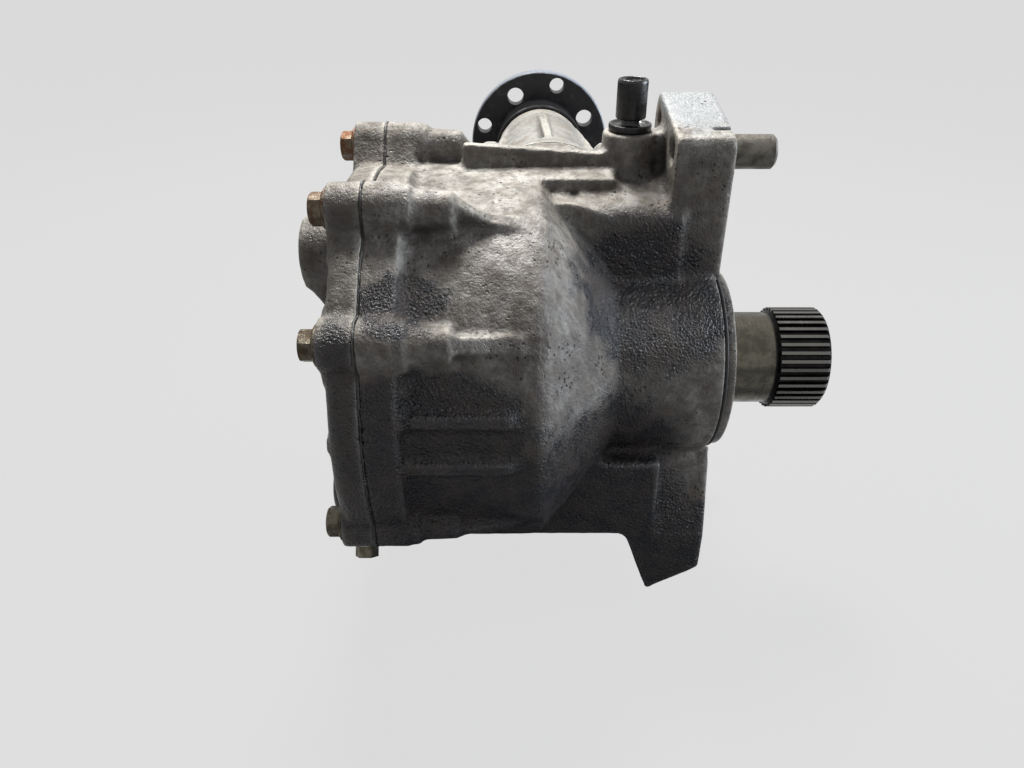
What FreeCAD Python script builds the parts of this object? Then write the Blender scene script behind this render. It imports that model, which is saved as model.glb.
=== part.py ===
import FreeCAD, Part
import math
import os
import re

import Sketcher

# A transfer case of the front-drive kind: an input shaft with an outer spline carries a ring gear,
# and the ring gear turns an offset bevel pinion whose tail leaves the casing at a right angle.
# Frame: the origin lies on the input axis at the face that bolts to the gearbox, +X points out of
# the splined end, +Y points along the output shaft to its flange and +Z is up. Lengths are in mm,
# angles in degrees. An "x" value is a distance inboard (towards -X) of the mounting face.

Vector = FreeCAD.Vector
doc = FreeCAD.newDocument("TransferCase")

SIZES = {
    # casting, along the input axis
    "housing_length": 156.5, "joint_flange_thickness": 14, "joint_flange_radius": 92,
    "drum_radius": 87, "drum_wall": 8, "drum_end_x": 84, "shoulder_foot_x": 63,
    "shoulder_foot_radius": 61, "boss_start_x": 50, "boss_radius": 45, "shoulder_rounding": 9,
    "foot_rounding": 7, "pilot_radius": 43, "pilot_length": 3.8, "pilot_groove_width": 2,
    "pilot_groove_depth": 0.5, "pilot_ring_section": 0.95,
    # cavity
    "cavity_end_x": 87, "cavity_cone_x": 69, "cavity_cone_radius": 55, "thrust_bore_radius": 30,
    # bearings of the input shaft
    "input_bearing_bore": 25, "input_bearing_outside": 36, "input_bearing_width": 15,
    "right_bearing_x": 35, "left_bearing_x": 160, "shim_thickness": 1.5, "shim_inside": 31,
    # tapered rollers
    "race_angle": 12, "roller_taper": 1.5, "race_clearance": 0.1, "input_roller_radius": 2.9,
    "input_roller_length": 10.5, "input_roller_count": 20, "cage_thickness": 1.2,
    "cage_clearance": 0.25, "cage_rim": 1.4, "cone_rib_height": 1.3, "cup_inset": 2, "cone_inset": 1.5,
    # seals
    "input_seal_inside": 25.05, "input_seal_outside": 34, "input_seal_width": 9,
    "input_seal_inset": 1, "axle_seal_inside": 17.5, "axle_seal_outside": 26, "axle_seal_width": 9,
    "seal_wall": 1.4, "seal_lip_height": 1.6,
    # hollow input shaft
    "axle_passage_radius": 18.5, "carrier_tube_radius": 29, "carrier_flange_x": 122,
    "carrier_flange_thickness": 10, "carrier_flange_radius": 66, "carrier_pilot_radius": 44,
    "carrier_pilot_length": 8, "shaft_left_end_x": 162.5, "relief_radius": 22.5,
    "relief_start": 3, "spline_start": 30, "spline_end": 54, "spline_root_radius": 23.5,
    "spline_tip_radius": 24.875, "spline_teeth": 38, "spline_tooth_root": 2.5,
    "spline_tooth_tip": 1.5, "spline_chamfer": 1.6, "spline_overlap": 0.4,
    # offset bevel gears
    "pinion_axis_x": 76, "pinion_offset": 37, "ring_teeth": 36, "pinion_teeth": 13,
    "gear_near": 35, "gear_far": 62, "addendum_factor": 0.6, "dedendum_factor": 1.2,
    "pressure_angle": 20, "backlash_share": 0.37, "tooth_embed": 1.2, "tooth_crown": 0.24,
    "tip_relief": 0.12, "root_undercut": 0.6, "ring_outside": 75,
    "gear_fit": 0.05, "ring_bolt_circle": 57, "ring_bolt_count": 8, "ring_bolt_radius": 4,
    "ring_bolt_reach": 11, "ring_bolt_head": 6.5, "ring_bolt_head_radius": 7.2, "ring_bolt_across": 12,
    # pinion shaft and its bearings, along the output axis
    "chamber_radius": 27.5, "chamber_start": 26, "pinion_collar_radius": 20.5,
    "pinion_neck_radius": 18, "collar_width": 5,
    "head_bearing_y": 77, "head_bearing_bore": 17.5, "head_bearing_outside": 31,
    "head_bearing_width": 18, "head_roller_radius": 3.3, "head_roller_length": 12.5,
    "head_roller_count": 15, "tail_bearing_y": 204, "tail_bearing_bore": 15,
    "tail_bearing_outside": 27.5, "tail_bearing_width": 17, "tail_roller_radius": 3,
    "tail_roller_length": 11.5, "tail_roller_count": 14, "pinion_shaft_radius": 16,
    "pinion_spline_radius": 13.5, "pinion_thread_radius": 11, "pinion_thread_start": 262,
    "pinion_end": 283, "spacer_inside": 16.2, "spacer_wall": 2.2, "spacer_bulge": 3.5,
    # pinion housing
    "pinion_joint_y": 100, "pinion_boss_radius": 44.5, "spigot_radius": 36, "spigot_start": 76,
    "spigot_clearance": 0.05, "pinion_shim": 1, "snout_flange_thickness": 9,
    "snout_flange_radius": 44.5, "snout_root_radius": 36, "snout_neck_radius": 33,
    "snout_cone_end": 228, "snout_collar_radius": 31, "snout_end": 252, "snout_wall": 6,
    "thrust_lip": 4, "snout_rib_height": 9, "snout_rib_thickness": 5, "snout_rib_angle": 52,
    "snout_bolt_circle": 47, "snout_bolt_radius": 4, "snout_ear_radius": 9.5,
    "snout_ear_depth": 24, "spigot_ring_section": 1.4, "spigot_ring_y": 82,
    "pinion_seal_inside": 19.05, "pinion_seal_outside": 28,
    "pinion_seal_width": 10, "pinion_seal_inset": 3, "bolt_hex_height": 5.7,
    # output flange
    "flange_hub_radius": 19, "flange_hub_start": 222, "flange_hub_shoulder": 25, "flange_hub_wide": 28,
    "flange_face_y": 279, "flange_back_y": 290, "flange_radius": 52, "flange_recess_radius": 21,
    "flange_recess_y": 263, "flange_edge": 1, "flange_hole_radius": 5.5, "flange_hole_circle": 44,
    "flange_wide_hole_radius": 6.2, "flange_wide_hole_circle": 39, "flange_hole_angle": 73,
    "deflector_y": 255, "deflector_radius": 33, "deflector_thickness": 1.2,
    "deflector_rim": 5, "washer_thickness": 3, "washer_radius": 18, "nut_across": 32,
    "nut_height": 13,
    # side cover
    "sealant_thickness": 0.5, "sealant_inside": 80, "cover_flange_thickness": 13,
    "cover_radius": 93, "cover_rounding": 5, "cover_dish_radius": 66, "cover_face_radius": 50,
    "cover_face_x": 176, "cover_hub_radius": 43, "cover_hub_x": 180,
    "cover_cavity_radius": 79, "cover_cavity_x": 161, "cover_boss_radius": 45,
    "cover_boss_inner_x": 143, "cover_thrust_radius": 28, "upper_pad_y": -20,
    "upper_pad_z": 63.5, "upper_pad_radius": 15.5, "upper_pad_x": 187,
    "lower_pad_y": -40, "lower_pad_z": -50, "lower_pad_radius": 12.5, "lower_pad_x": 182.5,
    "pad_draft": 1.5, "pad_hole_radius": 4.2, "pad_hole_depth": 16, "cover_rib_thickness": 5,
    "cover_rib_x": 174, "cover_rib_angle": 5, "cover_rib_count": 7, "seal_shoulder": 3,
    "thrust_web": 4.5,
    # cover bolts: place of each, from the top rear one forwards round the rim
    "bolt_seat_x": 171.5, "bolt_head_x": 179, "bolt_hex_across": 12, "bolt_washer_radius": 8.6,
    "bolt_washer_thickness": 1.8, "spot_face_margin": 0.6, "bolt_shank_radius": 4, "bolt_hole_radius": 4.5,
    "bolt_reach_x": 134, "bolt_boss_radius": 11, "ear_spread": 5,
    "bolt1_y": 40, "bolt1_z": 94.5, "bolt2_y": -35, "bolt2_z": 88, "bolt3_y": -76.5, "bolt3_z": 47.5,
    "bolt4_y": -75.5, "bolt4_z": -42, "bolt5_y": -22, "bolt5_z": -84, "bolt6_y": 38,
    "bolt6_z": -80, "bolt7_y": 80, "bolt7_z": -38, "bolt8_y": 82, "bolt8_z": 34,
    "boss_step_x": 138, "boss_small_radius": 8.2, "boss_end_x": 121, "boss_draft": 0.8,
    # mounting flange, lugs and their holes
    "lug_thickness": 26, "lug_boss_radius": 13, "mount_hole_radius": 5.5, "dowel_radius": 7.5,
    "dowel_seat_radius": 8, "dowel_wall": 1.8, "dowel_depth": 12, "dowel_reach": 19.4,
    "dowel_chamfer": 1.2,
    "lug1_y": 8, "lug1_z": 100, "lug2_y": 46, "lug2_z": 105, "lug3_y": -27, "lug3_z": -93,
    "lug4_y": 62, "lug4_z": -60, "web_front_y": -5, "top_flat_z": 110.4, "top_flat_slope": 9.8,
    # neck, ribs and keel
    "neck_front_y": -8, "neck_top_z": 78, "neck_back_y": 62, "neck_back_z": 88,
    "neck_left_x": 66, "neck_right_x": 20, "neck_rounding": 9, "top_rib_y": 25, "top_rib_thickness": 6,
    "top_rib_left_x": 120, "top_rib_right_x": 54, "top_rib_left_z": 99.9, "top_rib_right_z": 95.4,
    "saddle_y": 22, "saddle_z": 89.8, "saddle_back_y": 36, "saddle_back_z": 88, "saddle_foot_y": 58,
    "saddle_foot_z": 62, "saddle_front_y": -4, "saddle_front_z": 86.6, "saddle_start_x": 141,
    "shelf_front_y": 8, "shelf_front_z": 87.5, "shelf_end_x": 50,
    "rib_foot_z": 70, "keel_y": -36, "keel_thickness": 14, "keel_left_x": 98,
    "keel_right_x": 40, "keel_z": 79, "lug_tip_z": 118, "lug_toe_z": 101,
    "drum_rib_height": 3, "drum_rib_width": 5, "drum_rib_right_x": 92,
    "drum_rib1_angle": 12, "drum_rib2_angle": -2, "gusset_width": 7, "gusset_rise": 6,
    "gusset_knee_x": 106, "gusset_knee": 3.5, "gusset_end_x": 82, "gusset_start_x": 127,
    "gusset_depth": 5, "gusset_sink": 1.5,
    # breather
    "breather_x": 42, "breather_y": 31, "breather_boss_radius": 12.5, "breather_boss_z": 104,
    "breather_foot_z": 78, "breather_hole_radius": 3, "breather_stem_radius": 4.2,
    "breather_collar_radius": 10, "breather_collar_height": 3.4, "breather_stem_depth": 14,
    "breather_neck_height": 2, "breather_cap_radius": 7, "breather_cap_height": 17.5,
    "breather_cap_skirt": 1.2,
    # plugs
    "plug_radius": 9, "plug_depth": 11, "plug_across": 17, "plug_head": 7, "plug_flange": 12.5,
    "plug_flange_thickness": 2, "plug_washer_thickness": 1.5, "plug_washer_radius": 12,
    "plug_boss_radius": 14.5, "filler_x": 118, "filler_z": -22, "filler_boss_y": 92,
    "drain_radius": 4, "drain_depth": 10, "drain_across": 10, "drain_head": 6,
    "drain_washer_radius": 6.8, "drain_washer_thickness": 1.2, "drain_x": 169.5,
    "drain_angle": -58.5, "drain_boss_reach": 92.5, "drain_boss_radius": 7.5, "drain_hole_start": 74,
    "drain_way_radius": 3,
    "fit_gap": 0.05, "bolt_gap": 0.5, "shim_gap": 0.3, "ring_bolt_gap": 0.25, "ring_spare": 0.3,
    "ring_lift": 0.01,
    # how far a cutter runs past the face it leaves
    "overshoot": 1,
    # slopes, feet and roundings of the castings
    "joint_flange_slope": 3, "web_rear_swell": 4, "web_rear_z": 20, "keel_inset": 3,
    "keel_foot_run": 6, "keel_foot_rise": 8, "neck_back_lean": 14, "drum_rib_run": 6,
    "breather_boss_draft": 1, "breather_stem_wall": 1, "top_flat_front": 40, "top_flat_back": 110,
    "top_flat_height": 60, "lug_toe_cut": 10, "lug_toe_width": 160, "hub_rounding": 2,
    "cover_floor": 5, "pad_foot": 7, "pad_web_top": 1, "pad_web_rise": 4, "pad_web_step": 6,
    "pad_web_drop": 3, "pad_web_foot": 12, "pad_web_width": 23.25, "cover_rib_inset": 4,
    "cover_rib_fall": 3, "cover_rib_run": 8, "snout_rounding": 3, "snout_collar_rise": 2,
    "snout_rib_tip": 0.5, "snout_thread_wall": 2, "snout_bolt_angle": 45, "bolt_short": 4,
    "bolt_thread_spare": 3,
    # slopes, feet and roundings of the turned pieces
    "carrier_rounding": 3, "carrier_foot": 8, "foot_radius": 5, "ring_edge_drop": 1.5,
    "ring_chamfer": 2, "thread_chamfer": 1, "spacer_reach": 12, "spacer_rounding": 4,
    "bulge_rounding": 5, "deflector_rounding": 1,
}

sheet = doc.addObject("Spreadsheet::Sheet", "Sizes")
for row, (name, size) in enumerate(SIZES.items(), start=1):
    sheet.set("A" + str(row), name)
    sheet.set("B" + str(row), str(size))
    sheet.setAlias("B" + str(row), name)
doc.recompute()

nodes = []


def tied(text):
    """Write the sheet's name before each alias in an expression."""
    return re.sub(r"[a-z]\w*", lambda word: "Sizes." + word[0] if word[0] in SIZES else word[0], text)


def number(text):
    """The value that an expression has now."""
    return float(sheet.evalExpression(tied(text)))


def count_of(name):
    """How many copies the sheet asks for now."""
    return round(number(name))


def bind(item, **sizes):
    """Tie an object's properties to the sheet: Radius="drum_radius" and so on."""
    for prop, text in sizes.items():
        item.setExpression(prop, tied(text))
    return item


def place(item, x="0", y="0", z="0", axis=None, angle=None):
    """Tie an object's place to the sheet; axis and angle turn it first."""
    if axis is not None:
        item.Placement = FreeCAD.Placement(Vector(), FreeCAD.Rotation(axis, number(angle)))
        if angle in SIZES or not re.fullmatch(r"-?\d+", angle):
            item.setExpression(".Placement.Rotation.Angle", "(" + tied(angle) + ") * 1 deg")
    for side, text in (("x", x), ("y", y), ("z", z)):
        item.setExpression(".Placement.Base." + side, tied(text))
    return item


ALONG_X = FreeCAD.Rotation(Vector(0, 1, 0), 90)
ALONG_Y = FreeCAD.Rotation(Vector(1, 0, 0), -90)
ALONG_Z = FreeCAD.Rotation()
X_AXIS = Vector(1, 0, 0)


def rod(radius, length, x, y="0", z="0", along=ALONG_X):
    """A cylinder that starts at (x, y, z) and runs along +X, +Y or +Z."""
    item = doc.addObject("Part::Cylinder", "Rod")
    item.Placement = FreeCAD.Placement(Vector(), along)
    bind(item, Radius=radius, Height=length)
    return place(item, x, y, z)


def taper(start, end, length, x, y="0", z="0", along=ALONG_X):
    """A cone frustum whose radius goes from start to end."""
    item = doc.addObject("Part::Cone", "Taper")
    item.Placement = FreeCAD.Placement(Vector(), along)
    bind(item, Radius1=start, Radius2=end, Height=length)
    return place(item, x, y, z)


def hexagon(across, height, x, y="0", z="0", along=ALONG_X):
    """A hexagon bar, sized across its flats."""
    item = doc.addObject("Part::Prism", "Hexagon")
    item.Polygon = 6
    item.Placement = FreeCAD.Placement(Vector(), along)
    bind(item, Circumradius="(" + across + ") / 2 / cos(30)", Height=height)
    return place(item, x, y, z)


def fuse(items, label="Joined"):
    joined = doc.addObject("Part::MultiFuse", label)
    joined.Shapes = items
    joined.Label = label
    return joined


def cut(base, tools, label="Cut"):
    result = doc.addObject("Part::Cut", label)
    result.Base = base
    result.Tool = tools[0] if len(tools) == 1 else fuse(tools)
    result.Label = label
    return result


def group(items, label):
    """Identical loose pieces that share one node."""
    result = doc.addObject("Part::Compound", label)
    result.Links = items
    result.Label = label
    return result


def node(item):
    nodes.append(item)
    return item


def corner_arc(before, corner, after, radius):
    """Where an arc of this radius starts, ends and has its centre in a corner, and its turn."""
    inward = (corner - before).normalize()
    outward = (after - corner).normalize()
    turn = math.atan2(inward.x * outward.y - inward.y * outward.x, inward.dot(outward))
    back = radius * math.tan(abs(turn) / 2)
    side = math.copysign(1, turn)
    start = corner - inward * back
    centre = start + Vector(-inward.y, inward.x, 0) * side * radius
    return start, corner + outward * back, centre, side


def tie_point(sketch, geometry, spot, across, up):
    """Hold a sketch point at expressions for its two coordinates."""
    for kind, value, text in (("DistanceX", spot.x, across), ("DistanceY", spot.y, up)):
        index = sketch.addConstraint(Sketcher.Constraint(kind, -1, 1, geometry, 1, value))
        sketch.setExpression("Constraints[" + str(index) + "]", tied(text))


def outline(sketch, corners):
    """Draw a closed outline. A corner is (across, up) or (across, up, rounding) in expressions."""
    spots = [Vector(number(corner[0]), number(corner[1]), 0) for corner in corners]
    count = len(corners)
    arcs = {}
    for i, corner in enumerate(corners):
        if len(corner) == 3:
            arcs[i] = corner_arc(spots[i - 1], spots[i], spots[(i + 1) % count], number(corner[2]))
    lines = []
    for i in range(count):
        after = (i + 1) % count
        start = arcs[i][1] if i in arcs else spots[i]
        end = arcs[after][0] if after in arcs else spots[after]
        lines.append(sketch.addGeometry(Part.LineSegment(start, end), False))
    for i, corner in enumerate(corners):
        before, line = lines[i - 1], lines[i]
        if i not in arcs:
            sketch.addConstraint(Sketcher.Constraint("Coincident", before, 2, line, 1))
            tie_point(sketch, line, spots[i], corner[0], corner[1])
            continue
        start, end, centre, side = arcs[i]
        radius = (start - centre).Length
        first, last = (start, end) if side > 0 else (end, start)
        from_angle = math.atan2(first.y - centre.y, first.x - centre.x)
        to_angle = math.atan2(last.y - centre.y, last.x - centre.x)
        to_angle += 2 * math.pi if to_angle < from_angle else 0
        circle = Part.Circle(centre, Vector(0, 0, 1), radius)
        arc = sketch.addGeometry(Part.ArcOfCircle(circle, from_angle, to_angle), False)
        meets, leaves = (1, 2) if side > 0 else (2, 1)
        tip = sketch.addGeometry(Part.Point(spots[i]), True)
        sketch.addConstraint(Sketcher.Constraint("Tangent", before, 2, arc, meets))
        sketch.addConstraint(Sketcher.Constraint("Tangent", arc, leaves, line, 1))
        index = sketch.addConstraint(Sketcher.Constraint("Radius", arc, radius))
        sketch.setExpression("Constraints[" + str(index) + "]", tied(corner[2]))
        sketch.addConstraint(Sketcher.Constraint("PointOnObject", tip, 1, before))
        sketch.addConstraint(Sketcher.Constraint("PointOnObject", tip, 1, line))
        tie_point(sketch, tip, spots[i], corner[0], corner[1])


def origin_plane(body, role):
    return [item for item in body.Origin.OriginFeatures if item.Role == role][0]


def body_sketch(body, role="XY_Plane"):
    sketch = body.newObject("Sketcher::SketchObject", "Sketch")
    sketch.AttachmentSupport = [(origin_plane(body, role), "")]
    sketch.MapMode = "FlatFace"
    return sketch


def turned(label, corners, about="H_Axis", x="0", y="0", z="0"):
    """A body turned from one outline about the sketch's own axis."""
    body = doc.addObject("PartDesign::Body", label)
    body.Label = label
    sketch = body_sketch(body)
    outline(sketch, corners)
    spin = body.newObject("PartDesign::Revolution", "Revolution")
    spin.Profile = (sketch, [""])
    spin.ReferenceAxis = (sketch, [about])
    spin.Angle = 360
    body.Tip = spin
    return place(body, x, y, z)


def output_turned(label, corners):
    """A body turned about the output axis, from corners (radius, y)."""
    return turned(label, corners, "V_Axis", x="-pinion_axis_x", z="pinion_offset")


PLANES = {
    "YZ": FreeCAD.Rotation(Vector(1, 1, 1), 120),
    "XZ": FreeCAD.Rotation(Vector(1, 0, 0), 90),
    "XY": FreeCAD.Rotation(),
}
NORMALS = {"YZ": Vector(1, 0, 0), "XZ": Vector(0, -1, 0), "XY": Vector(0, 0, 1)}


def slab(plane, corners, thickness, centred=True, x="0", y="0", z="0"):
    """An outline in a plane given thickness: both ways, or one way along the plane's normal."""
    sketch = doc.addObject("Sketcher::SketchObject", "Outline")
    sketch.Placement = FreeCAD.Placement(Vector(), PLANES[plane])
    outline(sketch, corners)
    place(sketch, x, y, z)
    item = doc.addObject("Part::Extrusion", "Slab")
    item.Base = sketch
    item.DirMode = "Custom"
    item.Dir = NORMALS[plane]
    item.Solid = True
    item.Symmetric = centred
    return bind(item, LengthFwd=thickness)


def radial(item, angle):
    """Turn a slab made in the X-Z plane about the input axis; 0 faces forward, 90 is up."""
    turn = doc.addObject("Part::Compound", "Turned")
    turn.Links = [item]
    return place(turn, axis=X_AXIS, angle="90 - (" + angle + ")")


BOLTS = [("bolt" + str(i) + "_y", "bolt" + str(i) + "_z") for i in range(1, 9)]
LUGS = [("lug" + str(i) + "_y", "lug" + str(i) + "_z") for i in range(1, 5)]


def towards(item, y, z, x="0"):
    """Turn an upright form about the input axis until it points to a place."""
    turn = doc.addObject("Part::Compound", "Towards")
    turn.Links = [item]
    first = math.degrees(math.atan2(-number(y), number(z)))
    turn.Placement = FreeCAD.Placement(Vector(), FreeCAD.Rotation(X_AXIS, first))
    turn.setExpression(".Placement.Rotation.Angle", tied("atan2(-" + y + "; " + z + ")"))
    return place(turn, x)


def ears(thickness, x, radius):
    """The bosses round the joint and a web from each towards the middle."""
    items = []
    for y, z in BOLTS:
        items.append(rod(radius, thickness, x, y, z))
        reach = "sqrt(" + y + "^2 + " + z + "^2)"
        root = "joint_flange_radius - drum_wall"
        corners = [("-(" + radius + ")", reach), ("-(" + radius + ") - ear_spread", root),
                   ("(" + radius + ") + ear_spread", root), ("(" + radius + ")", reach)]
        items.append(towards(slab("YZ", corners, thickness, centred=False), y, z, x))
    return items


def bolt_holes(length, x, radius="bolt_hole_radius"):
    return [rod(radius, length, x, y, z) for y, z in BOLTS]


# Main housing: the drum, its shoulder and the boss of the input bearing are one turned form.
JOINT_X = "-housing_length"
drum_sketch = doc.addObject("Sketcher::SketchObject", "DrumOutline")
outline(drum_sketch, [
    (JOINT_X, "0"),
    (JOINT_X, "joint_flange_radius"),
    (JOINT_X + " + joint_flange_thickness", "joint_flange_radius"),
    (JOINT_X + " + joint_flange_thickness + joint_flange_slope", "drum_radius"),
    ("-drum_end_x", "drum_radius", "shoulder_rounding"),
    ("-shoulder_foot_x", "shoulder_foot_radius", "foot_rounding"),
    ("-boss_start_x", "boss_radius"),
    ("-pilot_groove_width", "boss_radius"),
    ("-pilot_groove_width", "pilot_radius - pilot_groove_depth"),
    ("0", "pilot_radius - pilot_groove_depth"),
    ("0", "pilot_radius"),
    ("pilot_length", "pilot_radius"),
    ("pilot_length", "0"),
])
drum = doc.addObject("Part::Revolution", "Drum")
drum.Source = drum_sketch
drum.Axis = X_AXIS
drum.Angle = 360
drum.Solid = True


def gusset(y, z):
    """A rib that falls from a bolt boss to the drum's surface."""
    reach = "sqrt(" + y + "^2 + " + z + "^2)"
    rib = slab("XZ", [
        ("-gusset_start_x", "drum_radius - gusset_depth"),
        ("-gusset_start_x", reach + " + gusset_rise"),
        ("-boss_end_x", reach + " + gusset_rise"),
        ("-gusset_knee_x", "drum_radius + gusset_knee"),
        ("-gusset_end_x", "drum_radius - gusset_sink"),
        ("-gusset_end_x", "drum_radius - gusset_depth"),
    ], "gusset_width")
    return towards(rib, y, z)


flange_bosses = ears("joint_flange_thickness", JOINT_X, "bolt_boss_radius")
for bolt_y, bolt_z in BOLTS:
    flange_bosses.append(taper("bolt_boss_radius", "bolt_boss_radius - boss_draft",
                               "housing_length - boss_step_x", JOINT_X, bolt_y, bolt_z))
    flange_bosses.append(taper("boss_small_radius", "boss_small_radius - boss_draft",
                               "boss_step_x - boss_end_x", "-boss_step_x", bolt_y, bolt_z))
    flange_bosses.append(gusset(bolt_y, bolt_z))

mount_web = slab("YZ", [
    ("web_front_y", "0"),
    ("web_front_y", "lug1_z"),
    ("lug1_y", "lug1_z + lug_boss_radius"),
    ("lug2_y", "lug2_z + lug_boss_radius"),
    ("lug2_y + lug_boss_radius", "lug2_z"),
    ("lug4_y + web_rear_swell", "web_rear_z"),
    ("lug4_y + lug_boss_radius", "lug4_z"),
    ("lug4_y", "lug4_z - lug_boss_radius"),
    ("lug3_y + lug_boss_radius", "lug3_z - lug_boss_radius"),
    ("keel_y - keel_thickness / 2", "-lug_tip_z"),
    ("keel_y - keel_thickness / 2", "lug3_z + lug_boss_radius"),
    ("keel_y + keel_inset", "-boss_radius + keel_inset"),
], "lug_thickness", centred=False, x="-lug_thickness")
lug_bosses = [rod("lug_boss_radius", "lug_thickness", "-lug_thickness", y, z) for y, z in LUGS]

neck = slab("YZ", [
    ("neck_front_y", "0"),
    ("neck_front_y", "neck_top_z", "neck_rounding"),
    ("top_rib_y", "neck_back_z"),
    ("neck_back_y", "neck_back_z", "neck_rounding"),
    ("neck_back_y + neck_back_lean", "0"),
], "neck_left_x - neck_right_x", centred=False, x="-neck_left_x")
pinion_boss = rod("pinion_boss_radius", "pinion_joint_y - neck_front_y", "-pinion_axis_x",
                  "neck_front_y", "pinion_offset", ALONG_Y)


def round_output(count, circle, first):
    """Places round the output axis: expressions for x and z of each."""
    spots = []
    for i in range(count):
        angle = "(" + first + " + " + str(i) + " * 360 / " + str(count) + ")"
        across = "-pinion_axis_x + " + circle + " * cos(" + angle + ")"
        up = "pinion_offset + " + circle + " * sin(" + angle + ")"
        spots.append((across, up))
    return spots


SNOUT_BOLTS = round_output(4, "snout_bolt_circle", "snout_bolt_angle")
snout_pads = [rod("snout_ear_radius", "snout_ear_depth", x, "pinion_joint_y - snout_ear_depth", z,
                  ALONG_Y) for x, z in SNOUT_BOLTS]

top_rib = slab("XZ", [
    ("-top_rib_left_x", "rib_foot_z"),
    ("-top_rib_left_x", "top_rib_left_z"),
    ("-top_rib_right_x", "top_rib_right_z"),
    ("-top_rib_right_x", "rib_foot_z"),
], "top_rib_thickness", y="top_rib_y")
SADDLE_BACK = [
    ("saddle_y", "saddle_z"),
    ("saddle_back_y", "saddle_back_z"),
    ("saddle_foot_y", "saddle_foot_z"),
    ("saddle_foot_y", "cavity_cone_radius"),
]
saddle = slab("YZ", [
    ("saddle_front_y", "cavity_cone_radius"),
    ("saddle_front_y", "saddle_front_z"),
] + SADDLE_BACK, "saddle_start_x - drum_end_x", centred=False, x="-saddle_start_x")
shelf = slab("YZ", [
    ("shelf_front_y", "cavity_cone_radius"),
    ("shelf_front_y", "shelf_front_z"),
] + SADDLE_BACK, "drum_end_x - shelf_end_x", centred=False, x="-drum_end_x")
keel = slab("XZ", [
    ("-keel_left_x - keel_foot_run", "-rib_foot_z / 2"),
    ("-keel_left_x - keel_foot_run", "-keel_z + keel_foot_rise"),
    ("-keel_left_x + keel_foot_rise", "-keel_z", "foot_rounding"),
    ("-keel_right_x", "-keel_z", "foot_rounding"),
    ("-lug_thickness", "-lug_tip_z"),
    ("-lug_thickness", "-rib_foot_z / 2"),
], "keel_thickness", y="keel_y")
drum_ribs = [radial(slab("XZ", [
    (JOINT_X + " + joint_flange_thickness / 2", "drum_radius - drum_wall / 2"),
    (JOINT_X + " + joint_flange_thickness / 2", "drum_radius + drum_rib_height"),
    ("-drum_rib_right_x - drum_rib_run", "drum_radius + drum_rib_height"),
    ("-drum_rib_right_x", "drum_radius"),
    ("-drum_rib_right_x", "drum_radius - drum_wall / 2"),
], "drum_rib_width"), angle) for angle in ("drum_rib1_angle", "drum_rib2_angle")]
breather_boss = taper("breather_boss_radius + breather_boss_draft", "breather_boss_radius",
                      "breather_boss_z - breather_foot_z", "-breather_x", "breather_y",
                      "breather_foot_z", ALONG_Z)
filler_boss = rod("plug_boss_radius", "filler_boss_y - drum_radius / 2", "-filler_x",
                  "drum_radius / 2", "filler_z", ALONG_Y)

casting = fuse([drum, mount_web, neck, pinion_boss, saddle, shelf, top_rib, keel, breather_boss,
                filler_boss]
               + flange_bosses + lug_bosses + snout_pads + drum_ribs)

cavity_sketch = doc.addObject("Sketcher::SketchObject", "CavityOutline")
outline(cavity_sketch, [
    (JOINT_X + " - overshoot", "0"),
    (JOINT_X + " - overshoot", "drum_radius - drum_wall"),
    ("-cavity_end_x", "drum_radius - drum_wall", "shoulder_rounding"),
    ("-cavity_cone_x", "cavity_cone_radius"),
    ("-cavity_cone_x", "input_bearing_outside"),
    ("-right_bearing_x", "input_bearing_outside"),
    ("-right_bearing_x", "thrust_bore_radius"),
    ("pilot_length - input_seal_inset - input_seal_width", "thrust_bore_radius"),
    ("pilot_length - input_seal_inset - input_seal_width", "input_seal_outside"),
    ("pilot_length + overshoot", "input_seal_outside"),
    ("pilot_length + overshoot", "0"),
])
cavity = doc.addObject("Part::Revolution", "Cavity")
cavity.Source = cavity_sketch
cavity.Axis = X_AXIS
cavity.Angle = 360
cavity.Solid = True
chamber = rod("chamber_radius", "spigot_start - chamber_start", "-pinion_axis_x", "chamber_start",
              "pinion_offset", ALONG_Y)
spigot_bore = rod("spigot_radius + spigot_clearance", "pinion_joint_y - spigot_start + overshoot",
                  "-pinion_axis_x", "spigot_start - spigot_clearance", "pinion_offset", ALONG_Y)
lug_holes = [rod("mount_hole_radius", "lug_thickness + 2 * overshoot", "-lug_thickness - overshoot", y, z)
             for y, z in LUGS]
dowel_pockets = [rod("dowel_seat_radius", "dowel_depth + overshoot", "-dowel_depth", y, z)
                 for y, z in (LUGS[0], LUGS[3])]
snout_threads = [rod("snout_bolt_radius + fit_gap", "snout_ear_depth", x,
                     "pinion_joint_y - snout_ear_depth + snout_thread_wall", z, ALONG_Y)
                 for x, z in SNOUT_BOLTS]
bolt_threads = bolt_holes("housing_length - bolt_reach_x + bolt_thread_spare",
                          JOINT_X + " - overshoot",
                          "bolt_shank_radius + fit_gap")
filler_hole = rod("plug_radius + fit_gap", "drum_radius", "-filler_x", "drum_radius / 2",
                  "filler_z", ALONG_Y)
breather_hole = rod("breather_stem_radius", "breather_boss_z", "-breather_x", "breather_y",
                    "breather_boss_z - breather_stem_depth - overshoot", along=ALONG_Z)
breather_way = rod("breather_hole_radius", "breather_boss_z - rib_foot_z / 2", "-breather_x",
                   "breather_y", "rib_foot_z / 2", ALONG_Z)
top_flat = slab("YZ", [
    ("-top_flat_front", "top_flat_z - (lug1_y + top_flat_front) * tan(top_flat_slope)"),
    ("top_flat_back", "top_flat_z + (top_flat_back - lug1_y) * tan(top_flat_slope)"),
    ("top_flat_back", "top_flat_z + top_flat_height"),
    ("-top_flat_front", "top_flat_z + top_flat_height"),
], "lug_thickness + 2 * overshoot", centred=False, x="-lug_thickness - overshoot")
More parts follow.
